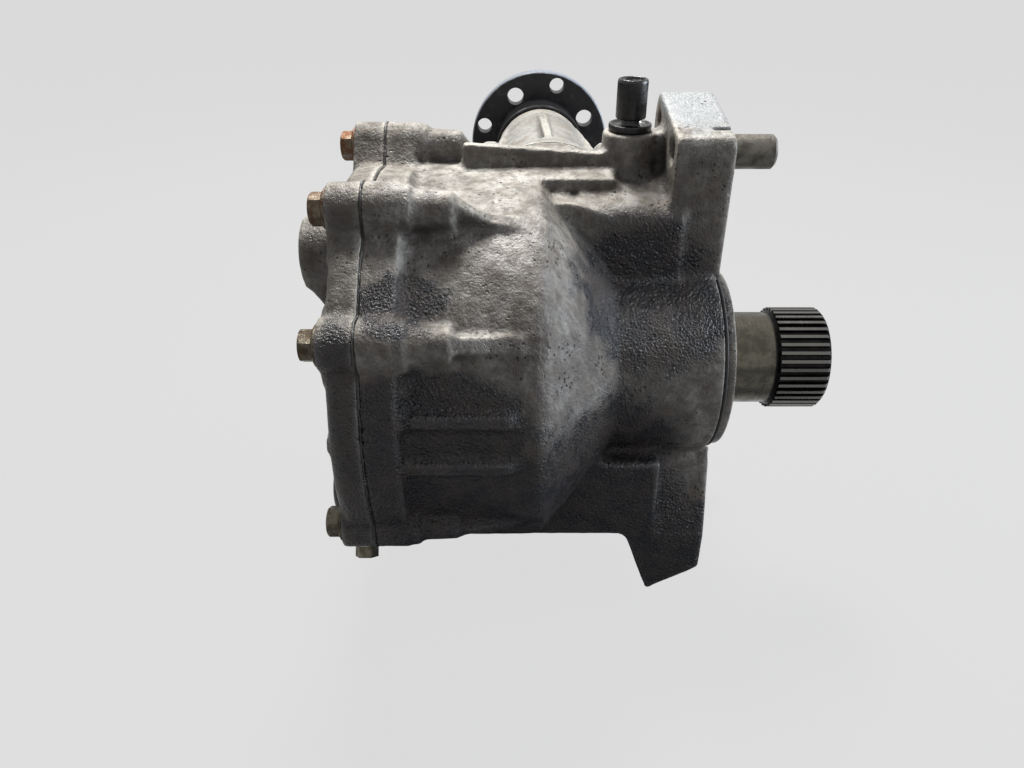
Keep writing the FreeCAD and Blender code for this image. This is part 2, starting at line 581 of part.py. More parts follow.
tip_slope = slab("XZ", [
    ("-lug_thickness", "-lug_tip_z"),
    ("overshoot", "-lug_toe_z"),
    ("overshoot", "-lug_tip_z - lug_toe_cut"),
    ("-lug_thickness", "-lug_tip_z - lug_toe_cut"),
], "lug_toe_width")
pilot_groove = cut(rod("pilot_radius + 2 * pilot_ring_section", "pilot_groove_width",
                       "-pilot_groove_width"),
                   [rod("pilot_radius - pilot_groove_depth", "pilot_groove_width + 2 * overshoot",
                        "-pilot_groove_width - overshoot")])
node(cut(casting, [cavity, chamber, spigot_bore, filler_hole, breather_hole, breather_way,
                   top_flat, tip_slope, pilot_groove]
         + lug_holes + dowel_pockets + snout_threads + bolt_threads, "main_housing"))


# Side cover: flange, dished face and hub are turned, the bearing boss reaches into the drum.
COVER_X = "-housing_length - sealant_thickness"
cover_sketch = doc.addObject("Sketcher::SketchObject", "CoverOutline")
outline(cover_sketch, [
    (COVER_X, "cover_cavity_radius"),
    (COVER_X, "cover_radius"),
    (COVER_X + " - cover_flange_thickness", "cover_radius", "cover_rounding"),
    (COVER_X + " - cover_flange_thickness", "cover_dish_radius"),
    ("-cover_face_x", "cover_face_radius"),
    ("-cover_face_x", "cover_hub_radius"),
    ("-cover_hub_x", "cover_hub_radius", "hub_rounding"),
    ("-cover_hub_x", "axle_seal_outside"),
    ("-cover_hub_x + axle_seal_width", "axle_seal_outside"),
    ("-cover_hub_x + axle_seal_width", "axle_seal_outside - seal_shoulder"),
    ("-left_bearing_x - shim_thickness - thrust_web", "axle_seal_outside - seal_shoulder"),
    ("-left_bearing_x - shim_thickness - thrust_web", "cover_thrust_radius"),
    ("-left_bearing_x - shim_thickness", "cover_thrust_radius"),
    ("-left_bearing_x - shim_thickness", "input_bearing_outside"),
    ("-cover_boss_inner_x", "input_bearing_outside"),
    ("-cover_boss_inner_x", "cover_boss_radius"),
    ("-cover_cavity_x - cover_floor", "cover_boss_radius"),
    ("-cover_cavity_x", "cover_cavity_radius"),
])
cover_turned = doc.addObject("Part::Revolution", "CoverTurned")
cover_turned.Source = cover_sketch
cover_turned.Axis = X_AXIS
cover_turned.Angle = 360
cover_turned.Solid = True

PAD_FOOT_X = "-cover_cavity_x - pad_foot"
pads = []
pad_holes = []
for name in ("upper_pad", "lower_pad"):
    y, z, radius = name + "_y", name + "_z", name + "_radius"
    depth = "(" + name + "_x - cover_cavity_x - pad_foot)"
    pads.append(taper(radius, radius + " + pad_draft", depth, "-" + name + "_x", y, z))
    pad_holes.append(rod("pad_hole_radius", "pad_hole_depth", "-" + name + "_x", y, z))
upper_pad_rib = slab("XZ", [
    (PAD_FOOT_X, "upper_pad_z"),
    ("-upper_pad_x + pad_web_top", "upper_pad_z"),
    ("-upper_pad_x + pad_web_top", "upper_pad_z - upper_pad_radius + pad_web_rise"),
    ("-upper_pad_x + pad_web_step", "upper_pad_z - upper_pad_radius - pad_web_drop"),
    ("-cover_face_x", "upper_pad_z - upper_pad_radius - pad_web_foot"),
    (PAD_FOOT_X, "upper_pad_z - upper_pad_radius - pad_web_foot"),
], "pad_web_width", y="upper_pad_y")
cover_ribs = []
for i in range(count_of("cover_rib_count")):
    rib = slab("XZ", [
        (PAD_FOOT_X, "cover_hub_radius - cover_rib_inset"),
        ("-cover_rib_x - cover_rib_fall", "cover_hub_radius - cover_rib_inset"),
        ("-cover_rib_x", "cover_face_radius + cover_rib_run"),
        ("-bolt_seat_x", "cover_radius - cover_rounding"),
        (PAD_FOOT_X, "cover_radius - cover_rounding"),
    ], "cover_rib_thickness")
    cover_ribs.append(radial(rib, "cover_rib_angle + " + str(i) + " * 360 / cover_rib_count"))
drain_boss = radial(rod("drain_boss_radius", "drain_boss_reach - cover_dish_radius", "-drain_x",
                        "0", "cover_dish_radius", ALONG_Z), "drain_angle")
drain_hole = radial(rod("drain_radius + fit_gap", "drain_boss_reach - drain_hole_start",
                        "-drain_x", "0", "drain_hole_start", ALONG_Z), "drain_angle")
drain_way = radial(rod("drain_way_radius", "drain_x - cover_cavity_x + overshoot", "-drain_x", "0",
                       "drain_hole_start + drain_way_radius"), "drain_angle")
drain_head_room = radial(rod("drain_washer_radius + spot_face_margin",
                             "drain_boss_reach - drain_hole_start", "-drain_x", "0",
                             "drain_boss_reach", ALONG_Z), "drain_angle")
boss_room = cut(rod("cover_cavity_radius", "cover_cavity_x - housing_length", "-cover_cavity_x"),
                [rod("cover_boss_radius", "cover_cavity_x", "-cover_cavity_x - overshoot")])
cover_bosses = ears("bolt_seat_x - housing_length - sealant_thickness", "-bolt_seat_x",
                    "bolt_boss_radius")
bolt_head_room = [rod("bolt_washer_radius + spot_face_margin", "upper_pad_x - bolt_seat_x",
                      "-upper_pad_x", y, z) for y, z in BOLTS]
node(cut(fuse([cover_turned, upper_pad_rib, drain_boss] + pads + cover_ribs + cover_bosses),
         [boss_room, drain_hole, drain_way, drain_head_room] + pad_holes + bolt_head_room
         + bolt_holes("bolt_seat_x", "-bolt_seat_x - overshoot"), "side_cover"))

sealant_bosses = ears("sealant_thickness", COVER_X, "bolt_boss_radius")
sealant_disc = rod("joint_flange_radius", "sealant_thickness", COVER_X)
node(cut(fuse([sealant_disc] + sealant_bosses),
         [rod("sealant_inside", "sealant_thickness + 2 * overshoot", COVER_X + " - overshoot")]
         + bolt_holes("sealant_thickness + 2 * overshoot", COVER_X + " - overshoot"), "cover_sealant"))


def flanged_bolt(across, washer, washer_thick, hex_height, shank, reach, start, y, z, along, sense):
    """A hexagon-head bolt whose head stands off its seat at start, against the sense."""
    if sense > 0:
        parts = [rod(washer, washer_thick, start + " - (" + washer_thick + ")", y, z),
                 hexagon(across, hex_height,
                         start + " - (" + washer_thick + ") - (" + hex_height + ")", y, z),
                 rod(shank, reach, start, y, z)]
    else:
        parts = [rod(washer, washer_thick, y, start, z, along),
                 hexagon(across, hex_height, y, start + " + (" + washer_thick + ")", z, along),
                 rod(shank, reach, y, start + " - (" + reach + ")", z, along)]
    return fuse(parts)


node(group([flanged_bolt("bolt_hex_across", "bolt_washer_radius", "bolt_washer_thickness",
                         "bolt_head_x - bolt_seat_x - bolt_washer_thickness", "bolt_shank_radius",
                         "bolt_seat_x - bolt_reach_x", "-bolt_seat_x", y, z, ALONG_X, 1)
            for y, z in BOLTS], "cover_bolts"))

# Pinion housing: spigot, bolted flange and the long snout that carries the output seal.
SHIM_END = "pinion_joint_y + pinion_shim"
FLANGE_END = SHIM_END + " + snout_flange_thickness"
HEAD_END = "head_bearing_y + head_bearing_width"
SEAL_POCKET_Y = "snout_end - pinion_seal_inset - pinion_seal_width"
snout_turned = output_turned("SnoutTurned", [
    ("spigot_radius", "spigot_start"),
    ("spigot_radius", "spigot_ring_y"),
    ("spigot_radius - 2 * spigot_ring_section", "spigot_ring_y"),
    ("spigot_radius - 2 * spigot_ring_section", "spigot_ring_y + 2 * spigot_ring_section + ring_spare"),
    ("spigot_radius", "spigot_ring_y + 2 * spigot_ring_section + ring_spare"),
    ("spigot_radius", SHIM_END),
    ("snout_flange_radius", SHIM_END),
    ("snout_flange_radius", FLANGE_END),
    ("snout_root_radius", FLANGE_END, "snout_rounding"),
    ("snout_neck_radius", "snout_cone_end"),
    ("snout_collar_radius", "snout_cone_end + snout_collar_rise"),
    ("snout_collar_radius", "snout_end"),
    ("pinion_seal_outside", "snout_end"),
    ("pinion_seal_outside", SEAL_POCKET_Y),
    ("tail_bearing_outside", SEAL_POCKET_Y),
    ("tail_bearing_outside", "tail_bearing_y"),
    ("tail_bearing_outside - thrust_lip", "tail_bearing_y"),
    ("tail_bearing_outside - thrust_lip", "tail_bearing_y - thrust_lip"),
    ("snout_neck_radius - snout_wall", "tail_bearing_y - 2 * thrust_lip"),
    ("snout_root_radius - snout_wall", HEAD_END + " + 2 * thrust_lip"),
    ("head_bearing_outside - thrust_lip", HEAD_END + " + thrust_lip"),
    ("head_bearing_outside - thrust_lip", HEAD_END),
    ("head_bearing_outside", HEAD_END),
    ("head_bearing_outside", "spigot_start"),
])
snout_ribs = []
for angle in ("0", "snout_rib_angle", "-snout_rib_angle", "180"):
    rib = slab("YZ", [
        (FLANGE_END + " - 1", "snout_neck_radius - snout_wall / 2"),
        (FLANGE_END + " - 1", "snout_root_radius + snout_rib_height"),
        ("snout_cone_end", "snout_neck_radius + snout_rib_tip"),
        ("snout_cone_end", "snout_neck_radius - snout_wall / 2"),
    ], "snout_rib_thickness")
    turn = doc.addObject("Part::Compound", "SnoutRib")
    turn.Links = [rib]
    snout_ribs.append(place(turn, "-pinion_axis_x", z="pinion_offset", axis=Vector(0, 1, 0),
                            angle=angle))
snout_ears = [rod("snout_ear_radius", "snout_flange_thickness", x, SHIM_END, z, ALONG_Y)
              for x, z in SNOUT_BOLTS]
snout_holes = [rod("snout_bolt_radius + bolt_gap", "snout_flange_thickness + 2 * overshoot", x,
                   SHIM_END + " - overshoot", z, ALONG_Y) for x, z in SNOUT_BOLTS]
snout_head_room = [rod("snout_ear_radius", "snout_cone_end", x, FLANGE_END, z, ALONG_Y)
                  for x, z in SNOUT_BOLTS]
node(cut(fuse([snout_turned] + snout_ribs + snout_ears), snout_holes + snout_head_room,
         "pinion_housing"))
node(cut(fuse([rod("snout_flange_radius", "pinion_shim", "-pinion_axis_x", "pinion_joint_y",
                   "pinion_offset", ALONG_Y)]
              + [rod("snout_ear_radius", "pinion_shim", x, "pinion_joint_y", z, ALONG_Y)
                 for x, z in SNOUT_BOLTS]),
         [rod("spigot_radius + shim_gap", "pinion_shim + 2 * overshoot", "-pinion_axis_x",
              "pinion_joint_y - overshoot", "pinion_offset", ALONG_Y)]
         + [rod("snout_bolt_radius + bolt_gap", "pinion_shim + 2 * overshoot", x,
                "pinion_joint_y - overshoot", z, ALONG_Y)
            for x, z in SNOUT_BOLTS], "pinion_housing_shim"))
node(group([flanged_bolt("bolt_hex_across", "bolt_washer_radius", "bolt_washer_thickness",
                         "bolt_hex_height", "snout_bolt_radius",
                         "snout_flange_thickness + pinion_shim + snout_ear_depth - bolt_short",
                         FLANGE_END, x, z, ALONG_Y, -1)
            for x, z in SNOUT_BOLTS], "pinion_housing_bolts"))


def ring(label, middle, section, x, y="0", z="0", along=ALONG_X):
    """A round-section sealing ring."""
    item = doc.addObject("Part::Torus", label)
    item.Label = label
    item.Placement = FreeCAD.Placement(Vector(), along)
    bind(item, Radius1=middle, Radius2=section)
    return node(place(item, x, y, z))


ring("pinion_housing_oring", "spigot_radius - spigot_ring_section", "spigot_ring_section",
     "-pinion_axis_x", "spigot_ring_y + spigot_ring_section + ring_spare / 2", "pinion_offset", ALONG_Y)
ring("pilot_oring", "pilot_radius - pilot_groove_depth + pilot_ring_section + ring_lift",
     "pilot_ring_section",
     "-pilot_groove_width / 2")

# Hollow input shaft: carrier for the ring gear, bearing seats, seal land and outer spline.
input_shaft = doc.addObject("PartDesign::Body", "ShaftBody")
shaft_sketch = body_sketch(input_shaft)
outline(shaft_sketch, [
    ("-shaft_left_end_x", "axle_passage_radius"),
    ("-shaft_left_end_x", "input_bearing_bore"),
    ("-left_bearing_x + input_bearing_width", "input_bearing_bore"),
    ("-left_bearing_x + input_bearing_width", "carrier_tube_radius"),
    ("-carrier_flange_x", "carrier_tube_radius", "carrier_rounding"),
    ("-carrier_flange_x", "carrier_flange_radius"),
    ("-carrier_flange_x + carrier_flange_thickness", "carrier_flange_radius"),
    ("-carrier_flange_x + carrier_flange_thickness", "carrier_pilot_radius"),
    ("-carrier_flange_x + carrier_flange_thickness + carrier_pilot_length",
     "carrier_pilot_radius"),
    ("-carrier_flange_x + carrier_flange_thickness + carrier_pilot_length + carrier_foot",
     "carrier_tube_radius", "foot_radius"),
    ("-right_bearing_x - input_bearing_width", "carrier_tube_radius"),
    ("-right_bearing_x - input_bearing_width", "input_bearing_bore"),
    ("relief_start", "input_bearing_bore"),
    ("relief_start + input_bearing_bore - relief_radius", "relief_radius"),
    ("spline_start - spline_root_radius + relief_radius", "relief_radius"),
    ("spline_start", "spline_root_radius"),
    ("spline_end", "spline_root_radius"),
    ("spline_end", "axle_passage_radius"),
])
shaft_spin = input_shaft.newObject("PartDesign::Revolution", "ShaftTurned")
shaft_spin.Profile = (shaft_sketch, [""])
shaft_spin.ReferenceAxis = (shaft_sketch, ["H_Axis"])
shaft_spin.Angle = 360
tooth_sketch = body_sketch(input_shaft, "YZ_Plane")
tooth_sketch.AttachmentOffset = FreeCAD.Placement(Vector(0, 0, 1), FreeCAD.Rotation())
tooth_sketch.setExpression(".AttachmentOffset.Base.z", tied("spline_start"))
outline(tooth_sketch, [
    ("-spline_tooth_root / 2", "spline_root_radius - spline_overlap"),
    ("spline_tooth_root / 2", "spline_root_radius - spline_overlap"),
    ("spline_tooth_tip / 2", "spline_tip_radius"),
    ("-spline_tooth_tip / 2", "spline_tip_radius"),
])
tooth = input_shaft.newObject("PartDesign::Pad", "SplineTooth")
tooth.Profile = (tooth_sketch, [""])
tooth.setExpression("Length", tied("spline_end - spline_start"))
teeth = input_shaft.newObject("PartDesign::PolarPattern", "SplineTeeth")
teeth.Originals = [tooth]
teeth.Axis = (tooth_sketch, ["N_Axis"])
teeth.Angle = 360
teeth.setExpression("Occurrences", tied("spline_teeth"))
input_shaft.Tip = teeth
chamfer_sketch = body_sketch(input_shaft)
outline(chamfer_sketch, [
    ("spline_end - spline_chamfer - overshoot", "spline_tip_radius + overshoot"),
    ("spline_end + overshoot", "spline_tip_radius + overshoot"),
    ("spline_end + overshoot", "spline_tip_radius - spline_chamfer - overshoot"),
])
chamfer = input_shaft.newObject("PartDesign::Groove", "SplineChamfer")
chamfer.Profile = (chamfer_sketch, [""])
chamfer.ReferenceAxis = (chamfer_sketch, ["H_Axis"])
chamfer.Angle = 360
input_shaft.Tip = chamfer
RING_BOLTS = [("ring_bolt_circle * cos(" + str(i) + " * 360 / ring_bolt_count)",
               "ring_bolt_circle * sin(" + str(i) + " * 360 / ring_bolt_count)")
              for i in range(count_of("ring_bolt_count"))]
node(cut(input_shaft, [rod("ring_bolt_radius + ring_bolt_gap", "carrier_flange_thickness + 2 * overshoot",
                           "-carrier_flange_x - overshoot", y, z) for y, z in RING_BOLTS], "input_shaft"))

# Ring gear and pinion: both tooth sets narrow towards one apex on the pinion axis, so every flank
# is flat and the ring's teeth lie along lines that pass the input axis at the pinion's offset.
ring_teeth = count_of("ring_teeth")
pinion_teeth = count_of("pinion_teeth")
near = number("gear_near")
far = number("gear_far")
APEX = Vector(number("-pinion_axis_x"), 0, number("pinion_offset"))


def tooth_size(along):
    """Pinion pitch radius, addendum, dedendum and pitch thickness at a distance from the apex."""
    module = 2 * along / ring_teeth
    thickness = math.pi * module / 2 * (1 - number("backlash_share"))
    return (module * pinion_teeth / 2, module * number("addendum_factor"),
            module * number("dedendum_factor"), thickness)


def tooth_frustum(section, stations):
    """A tooth through sections at some distances; section gives (out, side) corners at each."""
    wires = []
    for along in stations:
        corners = [APEX + Vector(-out, along, side) for out, side in section(along)]
        wires.append(Part.makePolygon(corners + corners[:1]))
    return Part.makeLoft(wires, True, True)


def ring_section(along):
    """A rack-like tooth with straight flanks, its tip towards the pinion axis."""
    pitch, tip, root, thickness = tooth_size(along)
    root += number("tooth_embed")
    slope = math.tan(math.radians(number("pressure_angle")))
    foot = thickness / 2 + root * slope
    top = thickness / 2 - tip * slope
    return [(pitch + root, -foot), (pitch - tip, -top), (pitch - tip, top), (pitch + root, foot)]


def pinion_section(along):
    """A tooth that is thinned towards its ends, with a relieved tip and an undercut root."""
    pitch, tip, root, thickness = tooth_size(along)
    root += number("tooth_embed")
    offset = (2 * along - near - far) / (far - near)
    half = thickness / 2 * (1 - number("tooth_crown") * offset ** 2)
    slope = math.tan(math.radians(number("pressure_angle")))
    foot = half + root * slope * number("root_undercut")
    top = half - tip * (slope + number("tip_relief"))
    return [(pitch - root, -foot), (pitch, -half), (pitch + tip, -top),
            (pitch + tip, top), (pitch, half), (pitch - root, foot)]


def toothed(label, section, stations, count, axis_point, axis, first):
    """One tooth, repeated round an axis; first is the place of the first one, in pitches."""
    shapes = []
    for i in range(count):
        one = tooth_frustum(section, stations)
        one.rotate(axis_point, axis, (i + first) * 360 / count)
        shapes.append(one)
    item = doc.addObject("Part::Feature", label)
    item.Shape = shapes[0].multiFuse(shapes[1:])
    return item


def face_depth(along):
    """Expression for how far behind the apex the ring's root surface lies."""
    return "(" + along + ") * (pinion_teeth + 2 * dedendum_factor) / ring_teeth"


def face_radius(along):
    return "sqrt((" + along + ")^2 + pinion_offset^2)"


RING_BACK = "-carrier_flange_x + carrier_flange_thickness"
MIDDLE = "(gear_near + gear_far) / 2"
ring_body = turned("RingBody", [
    (RING_BACK, "carrier_pilot_radius + gear_fit"),
    (RING_BACK, "ring_outside"),
    ("-pinion_axis_x - " + face_depth("gear_far") + " - ring_edge_drop", "ring_outside"),
    ("-pinion_axis_x - " + face_depth("gear_far"), face_radius("gear_far")),
    ("-pinion_axis_x - " + face_depth(MIDDLE), face_radius(MIDDLE)),
    ("-pinion_axis_x - " + face_depth("gear_near"), face_radius("gear_near")),
    ("-pinion_axis_x - " + face_depth("gear_near"), "carrier_pilot_radius + gear_fit + ring_chamfer"),
    ("-pinion_axis_x - " + face_depth("gear_near") + " - ring_chamfer", "carrier_pilot_radius + gear_fit"),
])
ring_toothed = toothed("RingTeeth", ring_section, (near, far), ring_teeth, Vector(), X_AXIS, 0)
node(cut(fuse([ring_body, ring_toothed]),
         [rod("ring_bolt_radius + fit_gap", "ring_bolt_reach + 2 * overshoot",
              RING_BACK + " - overshoot", y, z)
          for y, z in RING_BOLTS], "ring_gear"))
node(group([flanged_bolt("ring_bolt_across", "ring_bolt_head_radius", "bolt_washer_thickness",
                         "ring_bolt_head - bolt_washer_thickness", "ring_bolt_radius",
                         "carrier_flange_thickness + ring_bolt_reach", "-carrier_flange_x", y, z,
                         ALONG_X, 1) for y, z in RING_BOLTS], "ring_gear_bolts"))

MIDDLE_SPAN = "(head_bearing_y + head_bearing_width + tail_bearing_y) / 2"
PINION_ROOT = "(pinion_teeth / ring_teeth - 2 * dedendum_factor / ring_teeth)"
HEAD_SMALL = HEAD_END + " - cone_inset"
TAIL_SMALL = "tail_bearing_y + cone_inset"
TAIL_LARGE = "tail_bearing_y + tail_bearing_width"
pinion_body = output_turned("PinionBody", [
    ("0", "gear_near"),
    ("gear_near * " + PINION_ROOT, "gear_near"),
    ("gear_far * " + PINION_ROOT, "gear_far"),
    ("pinion_neck_radius", "gear_far"),
    ("pinion_neck_radius", "head_bearing_y - collar_width"),
    ("pinion_collar_radius", "head_bearing_y - collar_width"),
    ("pinion_collar_radius", "head_bearing_y"),
    ("head_bearing_bore", "head_bearing_y"),
    ("head_bearing_bore", HEAD_SMALL),
    ("pinion_shaft_radius", HEAD_SMALL),
    ("pinion_shaft_radius", TAIL_SMALL),
    ("tail_bearing_bore", TAIL_SMALL),
    ("tail_bearing_bore", TAIL_LARGE),
    ("pinion_spline_radius", TAIL_LARGE),
    ("pinion_spline_radius", "pinion_thread_start"),
    ("pinion_thread_radius", "pinion_thread_start"),
    ("pinion_thread_radius", "pinion_end - thread_chamfer"),
    ("pinion_thread_radius - thread_chamfer", "pinion_end"),
    ("0", "pinion_end"),
])
pinion_toothed = toothed("PinionTeeth", pinion_section, (near, (near + far) / 2, far),
                         pinion_teeth, APEX, Vector(0, 1, 0), 0.5)
node(fuse([pinion_body, pinion_toothed], "pinion_shaft"))

# Tapered roller bearings: a cup, a cone with its rib, a cage with a window for each roller.


def bearing(name, line, start, sense):
    """All pieces of one bearing; start is the cup's back face, sense points to the large end."""
    kind = line if line == "input" else name
    bore, outside, width = [kind + "_bearing_" + key for key in ("bore", "outside", "width")]
    radius, length, count = [kind + "_roller_" + key for key in ("radius", "length", "count")]
    middle = width + " / 2"
    pitch = "(" + bore + " + " + outside + ") / 2"
    wide = "(race_angle + roller_taper)"
    narrow = "(race_angle - roller_taper)"
    touch = "(" + radius + " * cos(roller_taper) + race_clearance)"

    def cup_at(u):
        return (pitch + " + " + touch + " / cos(" + wide + ") + (" + u + " - " + middle
                + ") * tan(" + wide + ")")

    def cone_at(u):
        return (pitch + " - " + touch + " / cos(" + narrow + ") + (" + u + " - " + middle
                + ") * tan(" + narrow + ")")

    def spot(u, r):
        axial = start + (" + " if sense > 0 else " - ") + "(" + u + ")"
        return (axial, r) if line == "input" else (r, axial)

    def turn(label, corners):
        corners = [spot(u, r) for u, r in corners]
        return turned(label, corners) if line == "input" else output_turned(label, corners)

    rib = (middle + " + " + length + " / 2 * cos(race_angle) + (" + radius + " + "
           + length + " / 2 * sin(roller_taper)) * sin(race_angle) + race_clearance")
    cup_end = width + " - cup_inset"
    node(turn(name + "_bearing_cup", [
        ("0", cup_at("0")), ("0", outside), (cup_end, outside), (cup_end, cup_at(cup_end))]))
    node(turn(name + "_bearing_cone", [
        ("cone_inset", bore), ("cone_inset", cone_at("cone_inset")), (rib, cone_at(rib)),
        (rib, cone_at(rib) + " + cone_rib_height"), (width, cone_at(rib) + " + cone_rib_height"),
        (width, bore)]))
    rollers = []
    windows = []
    base = start + (" + " if sense > 0 else " - ") + "(" + middle + ")"
    small = radius + " - " + length + " / 2 * sin(roller_taper)"
    large = radius + " + " + length + " / 2 * sin(roller_taper)"
    for i in range(count_of(count)):
        for spare, store in (("0", rollers), ("cage_clearance", windows)):
            store.append(tilted_roller(small + " + " + spare, large + " + " + spare,
                                       length + " + 2 * " + spare, line, base, pitch,
                                       str(i) + " * 360 / " + count, sense))
    node(group(rollers, name + "_bearing_rollers"))
    half = length + " / 2 * cos(race_angle) + cage_clearance + cage_rim"
    low, high = "(" + middle + " - (" + half + "))", "(" + middle + " + " + half + ")"

    def cage_at(u, side):
        return (pitch + " + (" + u + " - " + middle + ") * tan(race_angle) " + side
                + " cage_thickness / 2")

    shell = turn(name + "CageShell", [(low, cage_at(low, "-")), (low, cage_at(low, "+")),
                                      (high, cage_at(high, "+")), (high, cage_at(high, "-"))])
    node(cut(shell, windows, name + "_bearing_cage"))


def tilted_roller(small, large, length, line, base, pitch, angle, sense):
    """A tapered roller on its pitch circle, tilted with the races."""
    item = doc.addObject("Part::Cone", "Roller")
    bind(item, Radius1=small, Radius2=large, Height=length)
    item.Placement = FreeCAD.Placement(Vector(), FreeCAD.Rotation())
    item.setExpression(".Placement.Base.z", tied("-(" + length + ") / 2"))
    tilt = doc.addObject("Part::Compound", "RollerTilt")
    tilt.Links = [item]
    lean = "90 - race_angle" if sense > 0 else "race_angle - 90"
    place(tilt, z=pitch, axis=Vector(0, 1, 0), angle=lean)
    spin = doc.addObject("Part::Compound", "RollerSpin")
    spin.Links = [tilt]
    place(spin, base, axis=X_AXIS, angle=angle + " + 0.001")
    if line == "input":
        return spin
    swing = doc.addObject("Part::Compound", "RollerSwing")
    swing.Links = [spin]
    swing.Placement = FreeCAD.Placement(Vector(), FreeCAD.Rotation(Vector(0, 0, 1), 90))
    return place(swing, "-pinion_axis_x", z="pinion_offset")


bearing("right", "input", "-right_bearing_x", -1)
bearing("left", "input", "-left_bearing_x", 1)
bearing("head", "output", HEAD_END, -1)
bearing("tail", "output", "tail_bearing_y", 1)
node(cut(rod("input_bearing_outside", "shim_thickness", "-left_bearing_x - shim_thickness"),
         [rod("shim_inside", "shim_thickness + 2 * overshoot",
              "-left_bearing_x - shim_thickness - overshoot")],
         "preload_shim"))


def seal(label, kind, start, sense, line):
    """A lip seal: case, wall and lip; start is its closed face and sense points to the oil."""
    inside, outside, width = [kind + "_seal_" + key for key in ("inside", "outside", "width")]

    def spot(u, r):
        axial = start + (" + " if sense > 0 else " - ") + "(" + u + ")"
        return (axial, r) if line == "input" else (r, axial)

    corners = [spot(u, r) for u, r in [
        ("0", inside), ("0", outside), (width, outside), (width, outside + " - seal_wall"),
        ("seal_wall", outside + " - seal_wall"), ("seal_wall", inside + " + seal_lip_height"),
        (width + " - seal_wall", inside + " + seal_lip_height"), (width + " - seal_wall", inside)]]
    return node(turned(label, corners) if line == "input" else output_turned(label, corners))


seal("input_seal", "input", "pilot_length - input_seal_inset", -1, "input")
seal("axle_seal", "axle", "-cover_hub_x", 1, "input")
seal("pinion_seal", "pinion", "snout_end - pinion_seal_inset", -1, "output")

# Output end: spacer, flange with two circles of holes, dust ring, washer and nut.
node(output_turned("collapsible_spacer", [
    ("spacer_inside", HEAD_SMALL),
    ("spacer_inside + spacer_wall", HEAD_SMALL),
    ("spacer_inside + spacer_wall", MIDDLE_SPAN + " - spacer_reach", "spacer_rounding"),
    ("spacer_inside + spacer_wall + spacer_bulge", MIDDLE_SPAN, "bulge_rounding"),
    ("spacer_inside + spacer_wall", MIDDLE_SPAN + " + spacer_reach", "spacer_rounding"),
    ("spacer_inside + spacer_wall", TAIL_SMALL),
    ("spacer_inside", TAIL_SMALL),
    ("spacer_inside", MIDDLE_SPAN + " + spacer_reach", "spacer_rounding"),
    ("spacer_inside + spacer_bulge", MIDDLE_SPAN, "bulge_rounding"),
    ("spacer_inside", MIDDLE_SPAN + " - spacer_reach", "spacer_rounding"),
]))
flange_turned = output_turned("FlangeTurned", [
    ("pinion_spline_radius + fit_gap", TAIL_LARGE),
    ("flange_hub_radius", TAIL_LARGE),
    ("flange_hub_radius", "deflector_y + deflector_thickness"),
    ("flange_hub_shoulder", "deflector_y + deflector_thickness"),
    ("flange_hub_wide", "flange_face_y", "foot_radius"),
    ("flange_radius - flange_edge", "flange_face_y"),
    ("flange_radius", "flange_face_y + flange_edge"),
    ("flange_radius", "flange_back_y - flange_edge"),
    ("flange_radius - flange_edge", "flange_back_y"),
    ("flange_recess_radius", "flange_back_y"),
    ("flange_recess_radius", "flange_recess_y"),
    ("pinion_spline_radius + fit_gap", "flange_recess_y"),
])
flange_holes = []
for radius, circle, angle in (("flange_hole_radius", "flange_hole_circle", "flange_hole_angle"),
                              ("flange_wide_hole_radius", "flange_wide_hole_circle",
                               "flange_hole_angle + 45")):
    for x, z in round_output(4, circle, angle):
        flange_holes.append(rod(radius, "flange_back_y", x, "flange_hub_start", z, ALONG_Y))
node(cut(flange_turned, flange_holes, "output_flange"))
node(output_turned("dust_deflector", [
    ("flange_hub_radius", "deflector_y"),
    ("deflector_radius - deflector_thickness", "deflector_y"),
    ("deflector_radius - deflector_thickness", "deflector_y - deflector_rim"),
    ("deflector_radius", "deflector_y - deflector_rim"),
    ("deflector_radius", "deflector_y + deflector_thickness", "deflector_rounding"),
    ("flange_hub_radius", "deflector_y + deflector_thickness"),
]))
node(cut(rod("washer_radius", "washer_thickness", "-pinion_axis_x", "flange_recess_y",
             "pinion_offset", ALONG_Y),
         [rod("pinion_thread_radius + fit_gap", "washer_thickness + 2 * overshoot", "-pinion_axis_x",
              "flange_recess_y - overshoot", "pinion_offset", ALONG_Y)], "pinion_washer"))
node(cut(hexagon("nut_across", "nut_height", "-pinion_axis_x",
                 "flange_recess_y + washer_thickness", "pinion_offset", ALONG_Y),
         [rod("pinion_thread_radius + fit_gap", "nut_height + 2 * overshoot", "-pinion_axis_x",
              "flange_recess_y + washer_thickness - overshoot", "pinion_offset", ALONG_Y)],
         "pinion_nut"))

# Small pieces on the outside of the casing.
dowels = []
for y, z in (LUGS[0], LUGS[3]):
    tube = cut(fuse([rod("dowel_seat_radius", "dowel_depth", "-dowel_depth", y, z),
                     rod("dowel_radius", "dowel_reach - dowel_chamfer", "0", y, z),
                     taper("dowel_radius", "dowel_radius - dowel_chamfer", "dowel_chamfer",
                           "dowel_reach - dowel_chamfer", y, z)]),
               [rod("dowel_radius - dowel_wall", "dowel_depth + dowel_reach + 2 * overshoot",
                    "-dowel_depth - overshoot", y, z)])
    dowels.append(tube)
node(group(dowels, "dowel_sleeves"))

